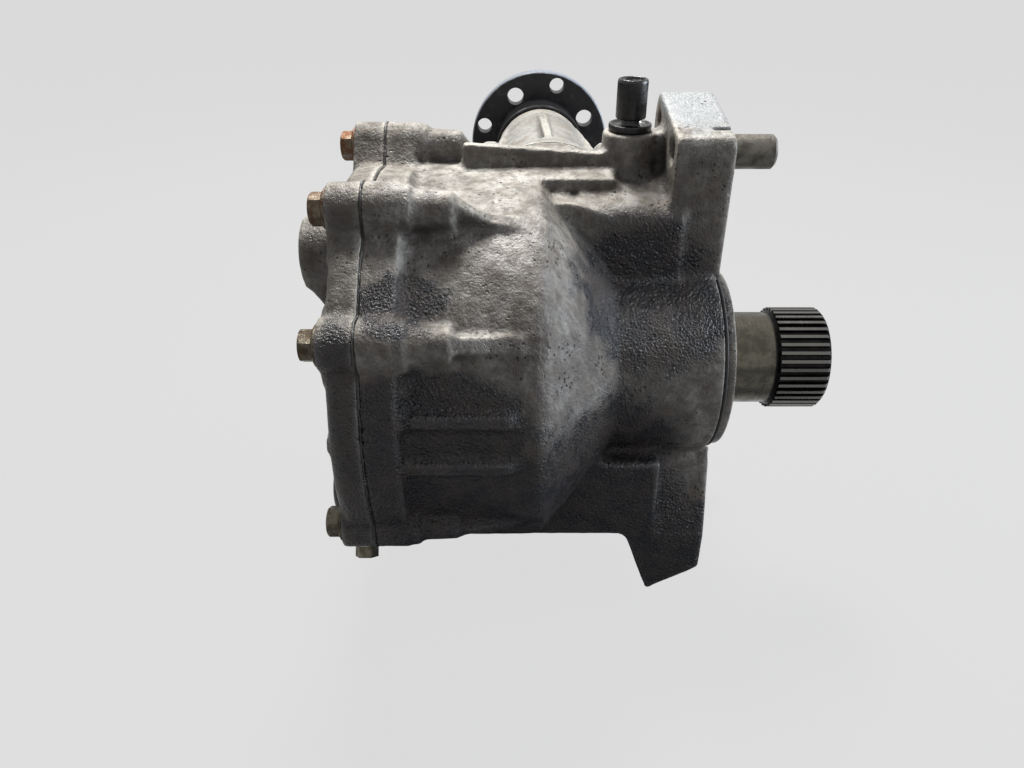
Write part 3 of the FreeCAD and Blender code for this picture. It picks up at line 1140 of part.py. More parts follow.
node(cut(fuse([rod("breather_stem_radius", "breather_stem_depth + breather_collar_height"
                   " + breather_neck_height", "-breather_x", "breather_y",
                   "breather_boss_z - breather_stem_depth", ALONG_Z),
               rod("breather_collar_radius", "breather_collar_height", "-breather_x",
                   "breather_y", "breather_boss_z", ALONG_Z)]),
         [rod("breather_hole_radius - breather_stem_wall", "breather_boss_z", "-breather_x", "breather_y",
              "breather_boss_z / 2", ALONG_Z)], "breather_body"))
CAP_Z = "breather_boss_z + breather_collar_height + breather_neck_height"
node(fuse([rod("breather_cap_radius", "breather_cap_height - breather_cap_skirt",
               "-breather_x", "breather_y", CAP_Z, ALONG_Z),
           taper("breather_cap_radius", "breather_cap_radius - breather_cap_skirt",
                 "breather_cap_skirt", "-breather_x", "breather_y",
                 CAP_Z + " + breather_cap_height - breather_cap_skirt", ALONG_Z)],
          "breather_cap"))

FILLER_SEAT = "filler_boss_y + plug_washer_thickness"
node(cut(rod("plug_washer_radius", "plug_washer_thickness", "-filler_x", "filler_boss_y",
             "filler_z", ALONG_Y),
         [rod("plug_radius + fit_gap", "plug_washer_thickness + 2 * overshoot", "-filler_x",
              "filler_boss_y - overshoot", "filler_z", ALONG_Y)], "filler_plug_washer"))
node(fuse([rod("plug_radius", "plug_depth", "-filler_x", FILLER_SEAT + " - plug_depth",
               "filler_z", ALONG_Y),
           rod("plug_flange", "plug_flange_thickness", "-filler_x", FILLER_SEAT, "filler_z",
               ALONG_Y),
           hexagon("plug_across", "plug_head", "-filler_x",
                   FILLER_SEAT + " + plug_flange_thickness", "filler_z", ALONG_Y)],
          "filler_plug"))
DRAIN_SEAT = "drain_boss_reach + drain_washer_thickness"
node(radial(cut(rod("drain_washer_radius", "drain_washer_thickness", "-drain_x", "0",
                    "drain_boss_reach", ALONG_Z),
                [rod("drain_radius + fit_gap", "drain_washer_thickness + 2 * overshoot", "-drain_x", "0",
                     "drain_boss_reach - overshoot", ALONG_Z)]), "drain_angle"))
nodes[-1].Label = "drain_plug_washer"
node(radial(fuse([rod("drain_radius", "drain_depth", "-drain_x", "0",
                      DRAIN_SEAT + " - drain_depth", ALONG_Z),
                  hexagon("drain_across", "drain_head", "-drain_x", "0", DRAIN_SEAT, ALONG_Z)]),
            "drain_angle"))
nodes[-1].Label = "drain_plug"

doc.recompute()
broken = [item.Label for item in doc.Objects if "Invalid" in item.State or "Error" in item.State]
broken += [item.Label for item in nodes if item.Shape.isNull() or not item.Shape.isValid()]
if broken:
    raise RuntimeError("broken: " + ", ".join(broken))
for item in nodes:
    print(item.Label, len(item.Shape.Solids), round(item.Shape.Volume))
os.makedirs("parts", exist_ok=True)
for item in nodes:
    item.Shape.exportStep("parts/" + item.Label + ".step")
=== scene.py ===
# %% [markdown]
# A transfer case takes the gearbox's output in through a splined hollow shaft and sends it out,
# at a right angle, through a round flange. The construction model already holds every casting,
# shaft and bolt at its real size. This lesson gives those parts their looks: soft cast edges,
# grime, oil and worn steel. Everything is in metres and in the construction model's own frame.

# %% Load the construction model
import math

import bmesh
import bpy
import numpy as np
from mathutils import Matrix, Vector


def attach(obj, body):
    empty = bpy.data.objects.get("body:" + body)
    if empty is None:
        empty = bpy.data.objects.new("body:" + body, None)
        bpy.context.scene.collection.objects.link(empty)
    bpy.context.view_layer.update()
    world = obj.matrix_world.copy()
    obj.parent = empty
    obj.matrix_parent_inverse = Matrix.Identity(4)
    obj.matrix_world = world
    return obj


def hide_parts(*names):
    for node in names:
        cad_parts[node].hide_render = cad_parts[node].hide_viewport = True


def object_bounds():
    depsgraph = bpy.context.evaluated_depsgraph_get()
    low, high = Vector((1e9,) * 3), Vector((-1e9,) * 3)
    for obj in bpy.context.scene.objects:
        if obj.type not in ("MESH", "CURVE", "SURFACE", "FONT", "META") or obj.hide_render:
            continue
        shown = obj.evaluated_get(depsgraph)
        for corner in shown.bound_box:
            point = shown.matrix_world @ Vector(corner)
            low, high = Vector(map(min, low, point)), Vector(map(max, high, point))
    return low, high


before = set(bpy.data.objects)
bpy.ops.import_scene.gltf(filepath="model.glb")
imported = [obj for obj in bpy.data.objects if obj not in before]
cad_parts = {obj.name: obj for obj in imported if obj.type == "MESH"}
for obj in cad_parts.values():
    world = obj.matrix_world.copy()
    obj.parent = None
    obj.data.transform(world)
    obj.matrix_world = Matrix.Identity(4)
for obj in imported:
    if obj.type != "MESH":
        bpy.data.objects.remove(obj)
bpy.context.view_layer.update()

import openvdb as vdb

MM = 0.001

# %% [markdown]
# The photograph was taken from the front, above the case, with a wide lens. The camera's place,
# tilt and lens below were found by matching known circles and edges of the case, so the render
# can be laid over the photograph.

# %% Camera
CAMERA_PLACE = (-0.097, -0.3447, 0.1913)
CAMERA_TILT = 59
LENS = 27.6


def placed(name, data):
    """An object with this data, linked to the scene at the origin."""
    obj = bpy.data.objects.new(name, data)
    bpy.context.scene.collection.objects.link(obj)
    return obj


camera = placed("camera", bpy.data.cameras.new("camera"))
bpy.context.scene.camera = camera
camera.location = CAMERA_PLACE
camera.rotation_euler = (math.radians(CAMERA_TILT), 0, 0)
camera.data.sensor_width = 36
camera.data.lens = LENS
camera.data.clip_start, camera.data.clip_end = 0.01, 20
bpy.context.scene.view_settings.view_transform = "Standard"
print("camera at", CAMERA_PLACE, "tilt in degrees:", CAMERA_TILT, "lens in mm:", LENS)

# %% [markdown]
# A material is a small graph of nodes. These helpers make one node each and join it to what feeds
# it, so that a finish can be written as a short recipe. Every recipe reads Object coordinates:
# the pieces all lie at the origin, so a stain keeps its place on the object from any side.

# %% Helpers that make shader nodes
# The sockets of a mix node that count when it mixes colours.
MIX_SHARE, MIX_FIRST, MIX_SECOND, MIX_RESULT = 0, 6, 7, 2


class Recipe:
    """A new material and the few nodes that every finish here uses."""

    def __init__(self, name, metallic=0.0):
        self.material = bpy.data.materials.new(name)
        self.material.use_nodes = True
        self.tree = self.material.node_tree
        self.shader = self.tree.nodes["Principled BSDF"]
        self.shader.inputs["Metallic"].default_value = metallic
        self.coords = self.tree.nodes.new("ShaderNodeTexCoord")
        self.place = self.coords.outputs["Object"]

    def feed(self, socket, value):
        """Join value to a socket if it is another node's output, and else set it."""
        if isinstance(value, bpy.types.NodeSocket):
            self.tree.links.new(value, socket)
        elif value is not None:
            socket.default_value = value

    def noise(self, size, detail=3.0, rough=0.55, where=None):
        """Cloudy noise from 0 to 1 whose blobs are about size metres across."""
        node = self.tree.nodes.new("ShaderNodeTexNoise")
        node.inputs["Scale"].default_value = 1 / size
        node.inputs["Detail"].default_value = detail
        node.inputs["Roughness"].default_value = rough
        self.feed(node.inputs["Vector"], where or self.place)
        return node.outputs["Fac"]

    def cells(self, size):
        """Distance to the nearest of scattered points that lie about size metres apart."""
        node = self.tree.nodes.new("ShaderNodeTexVoronoi")
        node.inputs["Scale"].default_value = 1 / size
        self.feed(node.inputs["Vector"], self.place)
        return node.outputs["Distance"]

    def math(self, operation, a, b):
        """Sum, difference or product of two numbers."""
        node = self.tree.nodes.new("ShaderNodeMath")
        node.operation = operation
        self.feed(node.inputs[0], a)
        self.feed(node.inputs[1], b)
        return node.outputs[0]

    def step(self, value, low, high, out_low=0.0, out_high=1.0):
        """Smoothly from out_low to out_high while value goes from low to high."""
        node = self.tree.nodes.new("ShaderNodeMapRange")
        node.interpolation_type = "SMOOTHSTEP"
        self.feed(node.inputs["Value"], value)
        for name, number in (("From Min", low), ("From Max", high),
                             ("To Min", out_low), ("To Max", out_high)):
            node.inputs[name].default_value = number
        return node.outputs["Result"]

    def blend(self, share, first, second):
        """Colour first where share is 0 and colour second where it is 1."""
        node = self.tree.nodes.new("ShaderNodeMix")
        node.data_type = "RGBA"
        self.feed(node.inputs[MIX_SHARE], share)
        self.feed(node.inputs[MIX_FIRST], first)
        self.feed(node.inputs[MIX_SECOND], second)
        return node.outputs[MIX_RESULT]

    def axis(self, which, source=None):
        """One coordinate of the place, or of another vector."""
        node = self.tree.nodes.new("ShaderNodeSeparateXYZ")
        self.feed(node.inputs[0], source or self.place)
        return node.outputs["XYZ".index(which)]

    def normal(self, which):
        """One coordinate of the direction in which the surface looks."""
        return self.axis(which, self.coords.outputs["Normal"])

    def attribute(self, name):
        """A number that the mesh holds for each of its vertices."""
        node = self.tree.nodes.new("ShaderNodeAttribute")
        node.attribute_name = name
        return node.outputs["Fac"]

    def vector(self, operation, a, b):
        """Sum, difference, product or quotient of two vectors, part by part."""
        node = self.tree.nodes.new("ShaderNodeVectorMath")
        node.operation = operation
        self.feed(node.inputs[0], a)
        self.feed(node.inputs[1], b)
        return node.outputs["Vector"]

    def length(self, vector):
        """How long a vector is."""
        node = self.tree.nodes.new("ShaderNodeVectorMath")
        node.operation = "LENGTH"
        self.feed(node.inputs[0], vector)
        return node.outputs["Value"]

    def bump(self, height, depth, under=None):
        """Height from 0 to 1 becomes a relief of depth metres."""
        node = self.tree.nodes.new("ShaderNodeBump")
        node.inputs["Strength"].default_value = 1.0
        node.inputs["Distance"].default_value = depth
        self.feed(node.inputs["Height"], height)
        self.feed(node.inputs["Normal"], under)
        return node.outputs["Normal"]

    def finish(self, colour, roughness, normal=None):
        """Feed the shader with the results and give the material."""
        self.feed(self.shader.inputs["Base Color"], colour)
        self.feed(self.shader.inputs["Roughness"], roughness)
        self.feed(self.shader.inputs["Normal"], normal)
        return self.material


def rgb(red, green, blue):
    """A colour as the sockets want it, with full cover."""
    return (red, green, blue, 1.0)


print("steps of a recipe:", [name for name in vars(Recipe) if not name.startswith("_")])

# %% [markdown]
# Oil creeps out at joints and seals and leaves dark wet places with ragged rims. They could be
# painted on an unwrapped surface. Soft balls in space do the same without any unwrapping and look
# right from every side. The places below were read off the photograph, as (centre, radii). Low on
# the front and under the bolt bosses they are painted shade as well as oil.

# %% Oiled places and painted shade
# Low on the front and under the bolt bosses these places are painted shade as well as oil.
HOUSING_OIL_AND_SHADE = [((-0.12, -0.08, -0.045), (0.085, 0.07, 0.085)),
               ((-0.032, -0.03, 0.052), (0.05, 0.045, 0.046)),
               ((-0.055, -0.045, -0.03), (0.05, 0.045, 0.045)),
               ((-0.03, -0.04, -0.095), (0.075, 0.05, 0.05)),
               ((-0.14, -0.07, 0.062), (0.022, 0.03, 0.012)),
               ((-0.14, -0.085, 0.02), (0.05, 0.03, 0.02))]
COVER_OIL_AND_SHADE = [((-0.165, -0.06, -0.06), (0.04, 0.06, 0.09)),
             ((-0.163, -0.09, 0.02), (0.02, 0.03, 0.06))]
SNOUT_OIL = [((-0.076, 0.1, -0.1), (0.05, 0.05, 0.05))]
RUBBED_LUG = [((-0.012, 0.025, 0.12), (0.03, 0.06, 0.014))]


def ball_mask(r, balls, ragged_size=0.011):
    """1 in the places that the balls mark, 0 outside: the sum of soft balls, eaten into by noise
    at the rim.
    """
    total = 0.0
    for centre, radii in balls:
        away = r.vector("SUBTRACT", r.place, centre)
        away = r.vector("DIVIDE", away, radii)
        total = r.math("ADD", total, r.step(r.length(away), 0.35, 1.25, 1.0, 0.0))
    noise = r.noise(ragged_size, 7, 0.68)
    return r.step(r.math("ADD", total, r.math("MULTIPLY", noise, -1.1)), -0.28, 0.22)


print("oiled places:", len(HOUSING_OIL_AND_SHADE), len(COVER_OIL_AND_SHADE), len(SNOUT_OIL))

# %% [markdown]
# The casting's finish is built in layers, most of them the way the real one got its looks. Bare
# cast aluminium is a dull warm grey with a fine grain. Years of road dirt left brown films and
# black specks, mostly on faces that look up and in the hollows at the feet of ribs. Some layers
# are painted
# shade: on faces that look to the front, in the recesses and hollows along with the dirt, and in
# the dark places low on the front along with the oil. Each layer is a colour and the share of the
# surface that it covers. The hollow, deep and edge attributes are measured from the shape further
# down.

# %% Cast aluminium
STAIN = rgb(0.17, 0.135, 0.095)
GRAIN = rgb(0.09, 0.075, 0.06)
FILM = rgb(0.06, 0.05, 0.04)
WORN_EDGE = rgb(0.6, 0.57, 0.5)
# Painted shade on the faces that look to the front.
FRONT_SHADE = rgb(0.075, 0.064, 0.06)
# Soil with painted shade in the recesses.
SOIL_AND_SHADE = rgb(0.04, 0.034, 0.03)
# Dirt with painted shade in the hollows.
CREVICE_DIRT_AND_SHADE = rgb(0.022, 0.019, 0.018)
RUBBED_LIGHT, RUBBED_DARK = rgb(0.34, 0.355, 0.37), rgb(0.26, 0.275, 0.29)
# The oil's colours; low on the front and under the bolt bosses they are painted shade as well.
OIL_AND_SHADE_BLACK, OIL_AND_SHADE_BROWN = rgb(0.014, 0.014, 0.019), rgb(0.045, 0.036, 0.032)
OILY_EDGE = rgb(0.2, 0.2, 0.21)
PIT = rgb(0.012, 0.011, 0.01)


def cast_aluminium(name, light, dark, grime, balls, oil_and_shade_cover, bare=()):
    """Dull aluminium under films of dirt and painted shade; balls are the places of oil, which
    also carry painted shade, and bare the rubbed ones.

    grime says, from 0 to 1, how well the brown film covers, and the number after balls how well
    the oil and its painted shade cover.
    """
    r = Recipe(name, metallic=0.25)
    broad = r.noise(0.04, 4, 0.6)
    middle = r.noise(0.011, 5, 0.66)
    grain = r.noise(0.0016, 4, 0.7)
    edge = r.attribute("edge")
    up = r.step(r.normal("Z"), -0.2, 0.8, 0.45, 1)
    front = r.step(r.normal("Y"), -0.8, 0.1, 1, 0)

    # The metal: two greys in broad patches, brown stains and a dark grain.
    colour = r.blend(r.step(broad, 0.38, 0.62), light, dark)
    colour = r.blend(r.step(middle, 0.42, 0.66, 0, 0.55), colour, STAIN)
    colour = r.blend(r.step(grain, 0.52, 0.72, 0, 0.45), colour, GRAIN)

    # The dirt and the painted shade: a dirt film on what looks up, painted shade on what looks to
    # the front, and soil with painted shade in the corners.
    film = r.math("MULTIPLY", r.step(r.noise(0.0065, 6, 0.72), 0.4, 0.64), up)
    colour = r.blend(r.math("MULTIPLY", film, grime), colour, FILM)
    colour = r.blend(r.math("MULTIPLY", edge, 0.6), colour, WORN_EDGE)
    front_shade = r.math("MULTIPLY", r.step(r.noise(0.0085, 6, 0.7), 0.36, 0.6, 0.25, 1), front)
    colour = r.blend(r.math("MULTIPLY", front_shade, 0.6), colour, FRONT_SHADE)
    soil_and_shade = r.math("ADD", r.math("MULTIPLY", r.attribute("deep"), 0.9), middle)
    colour = r.blend(r.math("MULTIPLY", r.step(soil_and_shade, 0.62, 1.05), 0.85), colour, SOIL_AND_SHADE)
    # Dirt with painted shade darkens the hollows at the feet of ribs.
    colour = r.blend(r.math("MULTIPLY", r.attribute("hollow"), 0.75), colour, CREVICE_DIRT_AND_SHADE)
    if bare:
        rubbed = r.blend(r.step(grain, 0.4, 0.6), RUBBED_LIGHT, RUBBED_DARK)
        colour = r.blend(r.math("MULTIPLY", ball_mask(r, bare, 0.004), 0.85), colour, rubbed)

    # The oil lies over all of it, painted shade as well low on the front and under the bolt
    # bosses, and the black pits go through it.
    oil = r.math("MULTIPLY", ball_mask(r, balls), oil_and_shade_cover)
    stained = r.blend(r.step(middle, 0.4, 0.62), OIL_AND_SHADE_BLACK, OIL_AND_SHADE_BROWN)
    stained = r.blend(r.math("MULTIPLY", edge, 0.5), stained, OILY_EDGE)
    colour = r.blend(oil, colour, stained)
    pits = r.math("MULTIPLY", r.step(r.cells(0.0026), 0.14, 0.3, 1, 0),
                  r.step(r.noise(0.016, 4, 0.6), 0.5, 0.64))
    colour = r.blend(r.math("MULTIPLY", pits, 0.85), colour, PIT)

    # Oil shines more and stands in small drops.
    rough = r.step(middle, 0.3, 0.7, 0.42, 0.66)
    rough = r.math("SUBTRACT", rough, r.math("MULTIPLY", oil, 0.25))
    drops = r.math("MULTIPLY", r.noise(0.0011, 2, 0.5),
                   r.math("ADD", r.math("MULTIPLY", oil, 1.6), 0.2))
    relief = r.bump(drops, 0.0007, r.bump(grain, 0.0006))
    relief = r.bump(r.math("MULTIPLY", pits, -1), 0.0006, relief)
    relief = r.bump(middle, 0.0012, relief)
    return r.finish(colour, rough, relief)


housing_cast = cast_aluminium("housing_cast", rgb(0.42, 0.405, 0.375), rgb(0.25, 0.235, 0.21),
                              0.75, HOUSING_OIL_AND_SHADE, 0.96, RUBBED_LUG)
cover_cast = cast_aluminium("cover_cast", rgb(0.34, 0.325, 0.295), rgb(0.18, 0.168, 0.148),
                            0.8, COVER_OIL_AND_SHADE, 0.8)
snout_cast = cast_aluminium("snout_cast", rgb(0.35, 0.348, 0.33), rgb(0.24, 0.235, 0.22),
                            0.25, SNOUT_OIL, 0.3)
print("castings:", housing_cast.name, cover_cast.name, snout_cast.name)

# %% [markdown]
# The plain steel parts share one recipe: a dark metal with fine marks and stains of another tint.
# Gears, bearings, dowels and washers differ only in their two colours and in how dull they are.
# Rubber, plastic and paste have no metal in them, only a film of dust on what looks up.

# %% Worn steel and black parts
SPECK = rgb(0.03, 0.025, 0.02)
DUST = rgb(0.2, 0.18, 0.15)


def worn_steel(name, colour, stain, rough=0.38, amount=0.6):
    """A worn metal: colour, the tint of its stains, and how much of it they cover."""
    r = Recipe(name, metallic=0.85)
    patches = r.noise(0.006, 5, 0.65)
    fine = r.noise(0.0009, 3, 0.6)
    tint = r.blend(r.math("MULTIPLY", r.step(patches, 0.4, 0.62), amount), colour, stain)
    tint = r.blend(r.step(fine, 0.6, 0.75, 0, 0.5), tint, SPECK)
    return r.finish(tint, r.step(patches, 0.3, 0.7, rough, rough + 0.2), r.bump(fine, 0.0002))


def dull_black(name, colour, rough, dust=0.3):
    """Rubber or plastic: near black, with a film of dust on what looks up."""
    r = Recipe(name)
    patches = r.noise(0.008, 5, 0.65)
    film = r.math("MULTIPLY", r.step(patches, 0.45, 0.7),
                  r.step(r.normal("Z"), 0, 1, 0.1, dust))
    tint = r.blend(film, colour, DUST)
    return r.finish(tint, r.step(patches, 0.3, 0.7, rough, rough + 0.15),
                    r.bump(r.noise(0.0012, 3), 0.00015))


def crumbled(name):
    """Dried paste: black in some stretches, dusty in others, with pale crumbs."""
    r = Recipe(name)
    stretch = r.step(r.noise(0.03, 3, 0.6), 0.42, 0.58)
    tint = r.blend(stretch, rgb(0.008, 0.008, 0.008), rgb(0.07, 0.065, 0.06))
    crumbs = r.math("MULTIPLY", r.step(r.noise(0.0012, 3, 0.7), 0.6, 0.66),
                    r.step(r.noise(0.02, 2), 0.48, 0.56))
    tint = r.blend(crumbs, tint, rgb(0.6, 0.59, 0.56))
    return r.finish(tint, 0.45, r.bump(r.noise(0.0012, 3), 0.0004))


bolt_steel = worn_steel("bolt_steel", rgb(0.17, 0.155, 0.12), rgb(0.07, 0.055, 0.04), 0.42, 0.75)
bearing_steel = worn_steel("bearing_steel", rgb(0.55, 0.55, 0.56), rgb(0.4, 0.4, 0.4), 0.2, 0.3)
plain_steel = worn_steel("plain_steel", rgb(0.3, 0.3, 0.29), rgb(0.14, 0.13, 0.12), 0.32, 0.5)
dowel_steel = worn_steel("dowel_steel", rgb(0.16, 0.15, 0.13), rgb(0.06, 0.052, 0.045), 0.36, 0.75)
soft_aluminium = worn_steel("soft_aluminium", rgb(0.5, 0.5, 0.48), rgb(0.3, 0.28, 0.25), 0.4, 0.5)
black_rubber = dull_black("black_rubber", rgb(0.02, 0.02, 0.02), 0.55)
black_plastic = dull_black("black_plastic", rgb(0.012, 0.012, 0.013), 0.2, 0.15)
black_sealant = crumbled("black_sealant")
print("plain finishes:", bolt_steel.name, plain_steel.name, black_rubber.name, black_sealant.name)

# %% [markdown]
# Three parts tell more than that. The bolt heads are plated, and each has rusted as far as its
# rust attribute says. The shaft is black with oil in its grooves while the tops of its splines are
# rubbed bright. The flange is painted black, and its rim has lost the paint and carries a painted
# highlight of pale blue grey.

# %% Bolts, shaft and flange
BOLT_METAL, BOLT_STAIN = rgb(0.15, 0.135, 0.1), rgb(0.06, 0.048, 0.032)
BOLT_RUST, BOLT_SPECK = rgb(0.17, 0.075, 0.035), rgb(0.02, 0.016, 0.012)
SHAFT_LIGHT, SHAFT_DARK = rgb(0.135, 0.126, 0.1), rgb(0.08, 0.073, 0.057)
SHAFT_OIL, SHAFT_OIL_BROWN = rgb(0.006, 0.006, 0.007), rgb(0.014, 0.013, 0.013)
SPLINE_TOP = rgb(0.16, 0.155, 0.145)
SPLINE_START, SPLINE_RADIUS = 0.0275, 0.0247
PAINT, THIN_PAINT = rgb(0.012, 0.012, 0.014), rgb(0.05, 0.048, 0.046)
# The rim's colour is rubbed steel with a painted highlight.
FLANGE_RIM_AND_HIGHLIGHT = rgb(0.2, 0.22, 0.26)
FLANGE_CENTRE, FLANGE_RADIUS = (-0.076, 0.0, 0.037), 0.0516


def aged_bolts(name):
    """Plated steel whose plating is stained; the rust attribute says how far it has gone."""
    r = Recipe(name, metallic=0.7)
    patches = r.noise(0.004, 5, 0.66)
    fine = r.noise(0.0008, 4, 0.62)
    tint = r.blend(r.step(patches, 0.4, 0.62), BOLT_METAL, BOLT_STAIN)
    share = r.math("MULTIPLY", r.step(patches, 0.36, 0.6, 0.25, 1), r.attribute("rust"))
    tint = r.blend(share, tint, BOLT_RUST)
    tint = r.blend(r.step(fine, 0.55, 0.72, 0, 0.6), tint, BOLT_SPECK)
    rough = r.math("ADD", r.step(patches, 0.3, 0.7, 0.38, 0.58), r.math("MULTIPLY", share, 0.15))
    return r.finish(tint, rough, r.bump(fine, 0.0003))


def oily_shaft(name):
    """Steel with a splined end under dark oil; what stands out past SPLINE_RADIUS is bright."""
    r = Recipe(name, metallic=0.9)
    away = r.length(r.vector("MULTIPLY", r.place, (0.0, 1.0, 1.0)))
    top = r.step(away, SPLINE_RADIUS - 0.0004, SPLINE_RADIUS, 0, 1)
    splined = r.step(r.axis("X"), SPLINE_START, SPLINE_START + 0.001, 0, 1)
    patches = r.noise(0.006, 5, 0.65)
    rings = r.noise(0.0012, 3, 0.6, r.vector("MULTIPLY", r.place, (1.0, 0.04, 0.04)))
    plain = r.blend(r.step(patches, 0.38, 0.64), SHAFT_LIGHT, SHAFT_DARK)
    oily = r.blend(r.step(patches, 0.4, 0.6), SHAFT_OIL, SHAFT_OIL_BROWN)
    tint = r.blend(splined, plain, oily)
    tint = r.blend(r.math("MULTIPLY", top, splined), tint, SPLINE_TOP)
    return r.finish(tint, r.step(patches, 0.3, 0.7, 0.2, 0.34), r.bump(rings, 0.00012))


def painted_flange(name):
    """Black paint; past FLANGE_RADIUS the edge is rubbed steel with a painted highlight."""
    r = Recipe(name, metallic=0.15)
    away = r.vector("SUBTRACT", r.place, FLANGE_CENTRE)
    away = r.length(r.vector("MULTIPLY", away, (1.0, 0.0, 1.0)))
    patches = r.noise(0.007, 5, 0.66)
    # The rim: rubbed steel with a painted highlight.
    rim = r.step(r.math("ADD", away, r.math("MULTIPLY", patches, 0.0012)),
                 FLANGE_RADIUS, FLANGE_RADIUS + 0.0007)
    tint = r.blend(r.step(patches, 0.5, 0.72, 0, 0.5), PAINT, THIN_PAINT)
    tint = r.blend(rim, tint, FLANGE_RIM_AND_HIGHLIGHT)
    return r.finish(tint, r.step(patches, 0.3, 0.7, 0.3, 0.45), r.bump(r.noise(0.001, 3), 0.0001))


bolt_heads = aged_bolts("bolt_heads")
shaft_steel = oily_shaft("shaft_steel")
black_flange = painted_flange("black_flange")
print("special finishes:", bolt_heads.name, shaft_steel.name, black_flange.name)

# %% [markdown]
# Each solid of the construction model now takes its finish. One table shows at a glance what is
# made of what, and a part that changes its metal changes its row.

# %% A finish for every part
FINISHES = (
    (bolt_heads, ["cover_bolts", "pinion_housing_bolts"]),
    (bolt_steel, ["ring_gear_bolts", "filler_plug", "drain_plug", "pinion_nut"]),
    (shaft_steel, ["input_shaft"]),
    (plain_steel, ["ring_gear", "pinion_shaft", "preload_shim", "pinion_housing_shim",
                   "collapsible_spacer", "pinion_washer"]),
    (dowel_steel, ["dowel_sleeves"]),
    (bearing_steel, [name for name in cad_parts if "_bearing_" in name]),
    (soft_aluminium, ["filler_plug_washer", "drain_plug_washer"]),
    (black_rubber, ["pinion_housing_oring", "pilot_oring", "input_seal", "axle_seal",
                    "pinion_seal"]),
    (black_sealant, ["cover_sealant"]),
    (black_plastic, ["breather_body", "breather_cap"]),
    (black_flange, ["output_flange", "dust_deflector"]),
    (housing_cast, ["main_housing"]),
    (cover_cast, ["side_cover"]),
    (snout_cast, ["pinion_housing"]),
)
for finish, names in FINISHES:
    for name in names:
        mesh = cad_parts[name].data
        mesh.materials.clear()
        mesh.materials.append(finish)
print("nodes with a finish:", sum(len(names) for finish, names in FINISHES))

# %% [markdown]
# A sand or die casting has no sharp inner corners: metal flows round them. To round them by hand
# would take hundreds of fillets. Instead the shape is turned into a field that says, at each point
# of a fine grid, how far the surface is. Growing the shape by a radius and shrinking it again
# fills each inner corner with a fillet of that radius and leaves flat faces where they were.
# Shrinking and growing by a smaller radius rounds the outer edges in the same way.

# %% A shape as a distance field
VOXEL = 0.0008
MARGIN = 10


def places_of(mesh):
    """The vertices of a mesh as rows of x, y and z."""
    flat = np.empty(len(mesh.vertices) * 3, np.float32)
    mesh.vertices.foreach_get("co", flat)
    return flat.reshape(-1, 3)


def arrays_of(obj):
    """The vertices and triangles of a node as arrays, with doubled vertices merged."""
    mesh = obj.data
    mesh.calc_loop_triangles()
    faces = np.empty(len(mesh.loop_triangles) * 3, np.int32)
    mesh.loop_triangles.foreach_get("vertices", faces)
    unique, back = np.unique(np.round(places_of(mesh), 7), axis=0, return_inverse=True)
    first, second, third = back.reshape(-1)[faces].reshape(-1, 3).T
    whole = (first != second) & (second != third) & (third != first)
    return unique, np.stack([first, second, third], 1)[whole]


def distance_field(points, faces, reach):
    """Signed distance to a closed surface, known up to reach metres from it."""
    kind = "triangles" if faces.shape[1] == 3 else "quads"
    return vdb.FloatGrid.createLevelSetFromPolygons(
        points, transform=vdb.createLinearTransform(VOXEL), halfWidth=reach / VOXEL,
        **{kind: faces.astype(np.uint32)})


def shifted(grid, amount, reach):
    """The field of the surface that lies amount metres outside (or, if negative, inside)."""
    points, quads = grid.convertToQuads(isovalue=amount)
    return distance_field(points, quads, reach)


def as_array(grid, low, shape):
    """The grid's values on a box of cells, as a plain array."""
    values = np.empty(shape, np.float32)
    grid.copyToArray(values, ijk=low)
    return values


def as_grid(values, low, reach):
    """An array of distances as a grid whose first cell is low."""
    grid = vdb.FloatGrid(reach)
    grid.transform = vdb.createLinearTransform(VOXEL)
    grid.copyFromArray(values, ijk=low, tolerance=0)
    return grid


def softened(points, faces, low, shape, fillet, rounding, reach):
    """The plain field, and the field with filled inner corners and rounded outer edges.

    The closed field is min(field, grown field + fillet), the opened one is
    max(closed, shrunk field - rounding).
    """
    plain = distance_field(points, faces, reach)
    field = as_array(plain, low, shape)
    closed = np.minimum(field, as_array(shifted(plain, fillet, reach), low, shape) + fillet)
    shrunk = as_array(shifted(as_grid(closed, low, reach), -rounding, reach), low, shape)
    return field, np.maximum(closed, shrunk - rounding)


print("cell in mm:", VOXEL / MM)

# %% [markdown]
# The field serves twice more. Its slope gives smooth normals, and its mean over a small cube tells
# how the surface bends: on a flat face it is zero, in a hollow more metal lies around, on an edge
# more air. Dirt gathers in hollows and is rubbed off edges, and the hollows also get painted
# shade, so the means become attributes that the castings' finish reads. Slow random waves stand
# for the unevenness of a cast skin.

# %% Reading a field
NEAR, WIDE = 0.0024, 0.008
NEAR_BEND = 0.0008


def blurred(values, radius):
    """The mean over a cube of cells, found from running sums along each axis."""
    for axis in range(3):
        padded = np.pad(values, [(radius + 1, radius) if i == axis else (0, 0) for i in range(3)],
                        mode="edge")
        sums = np.cumsum(padded, axis=axis, dtype=np.float64)
        width = 2 * radius + 1
        upper = np.take(sums, range(width, sums.shape[axis]), axis=axis)
        lower = np.take(sums, range(sums.shape[axis] - width), axis=axis)
        values = ((upper - lower) / width).astype(np.float32)
    return values


def sample(values, points):
    """Values at points given in cells, mixed from the eight cells round each point."""
    base = np.clip(np.floor(points).astype(int), 0, np.array(values.shape) - 2)
    part = points - base
    total = np.zeros(len(points), np.float32)
    for corner in range(8):
        step = np.array([corner & 1, corner >> 1 & 1, corner >> 2 & 1])
        weight = np.prod(np.where(step, part, 1 - part), axis=1)
        spot = base + step
        total += weight * values[spot[:, 0], spot[:, 1], spot[:, 2]]
    return total


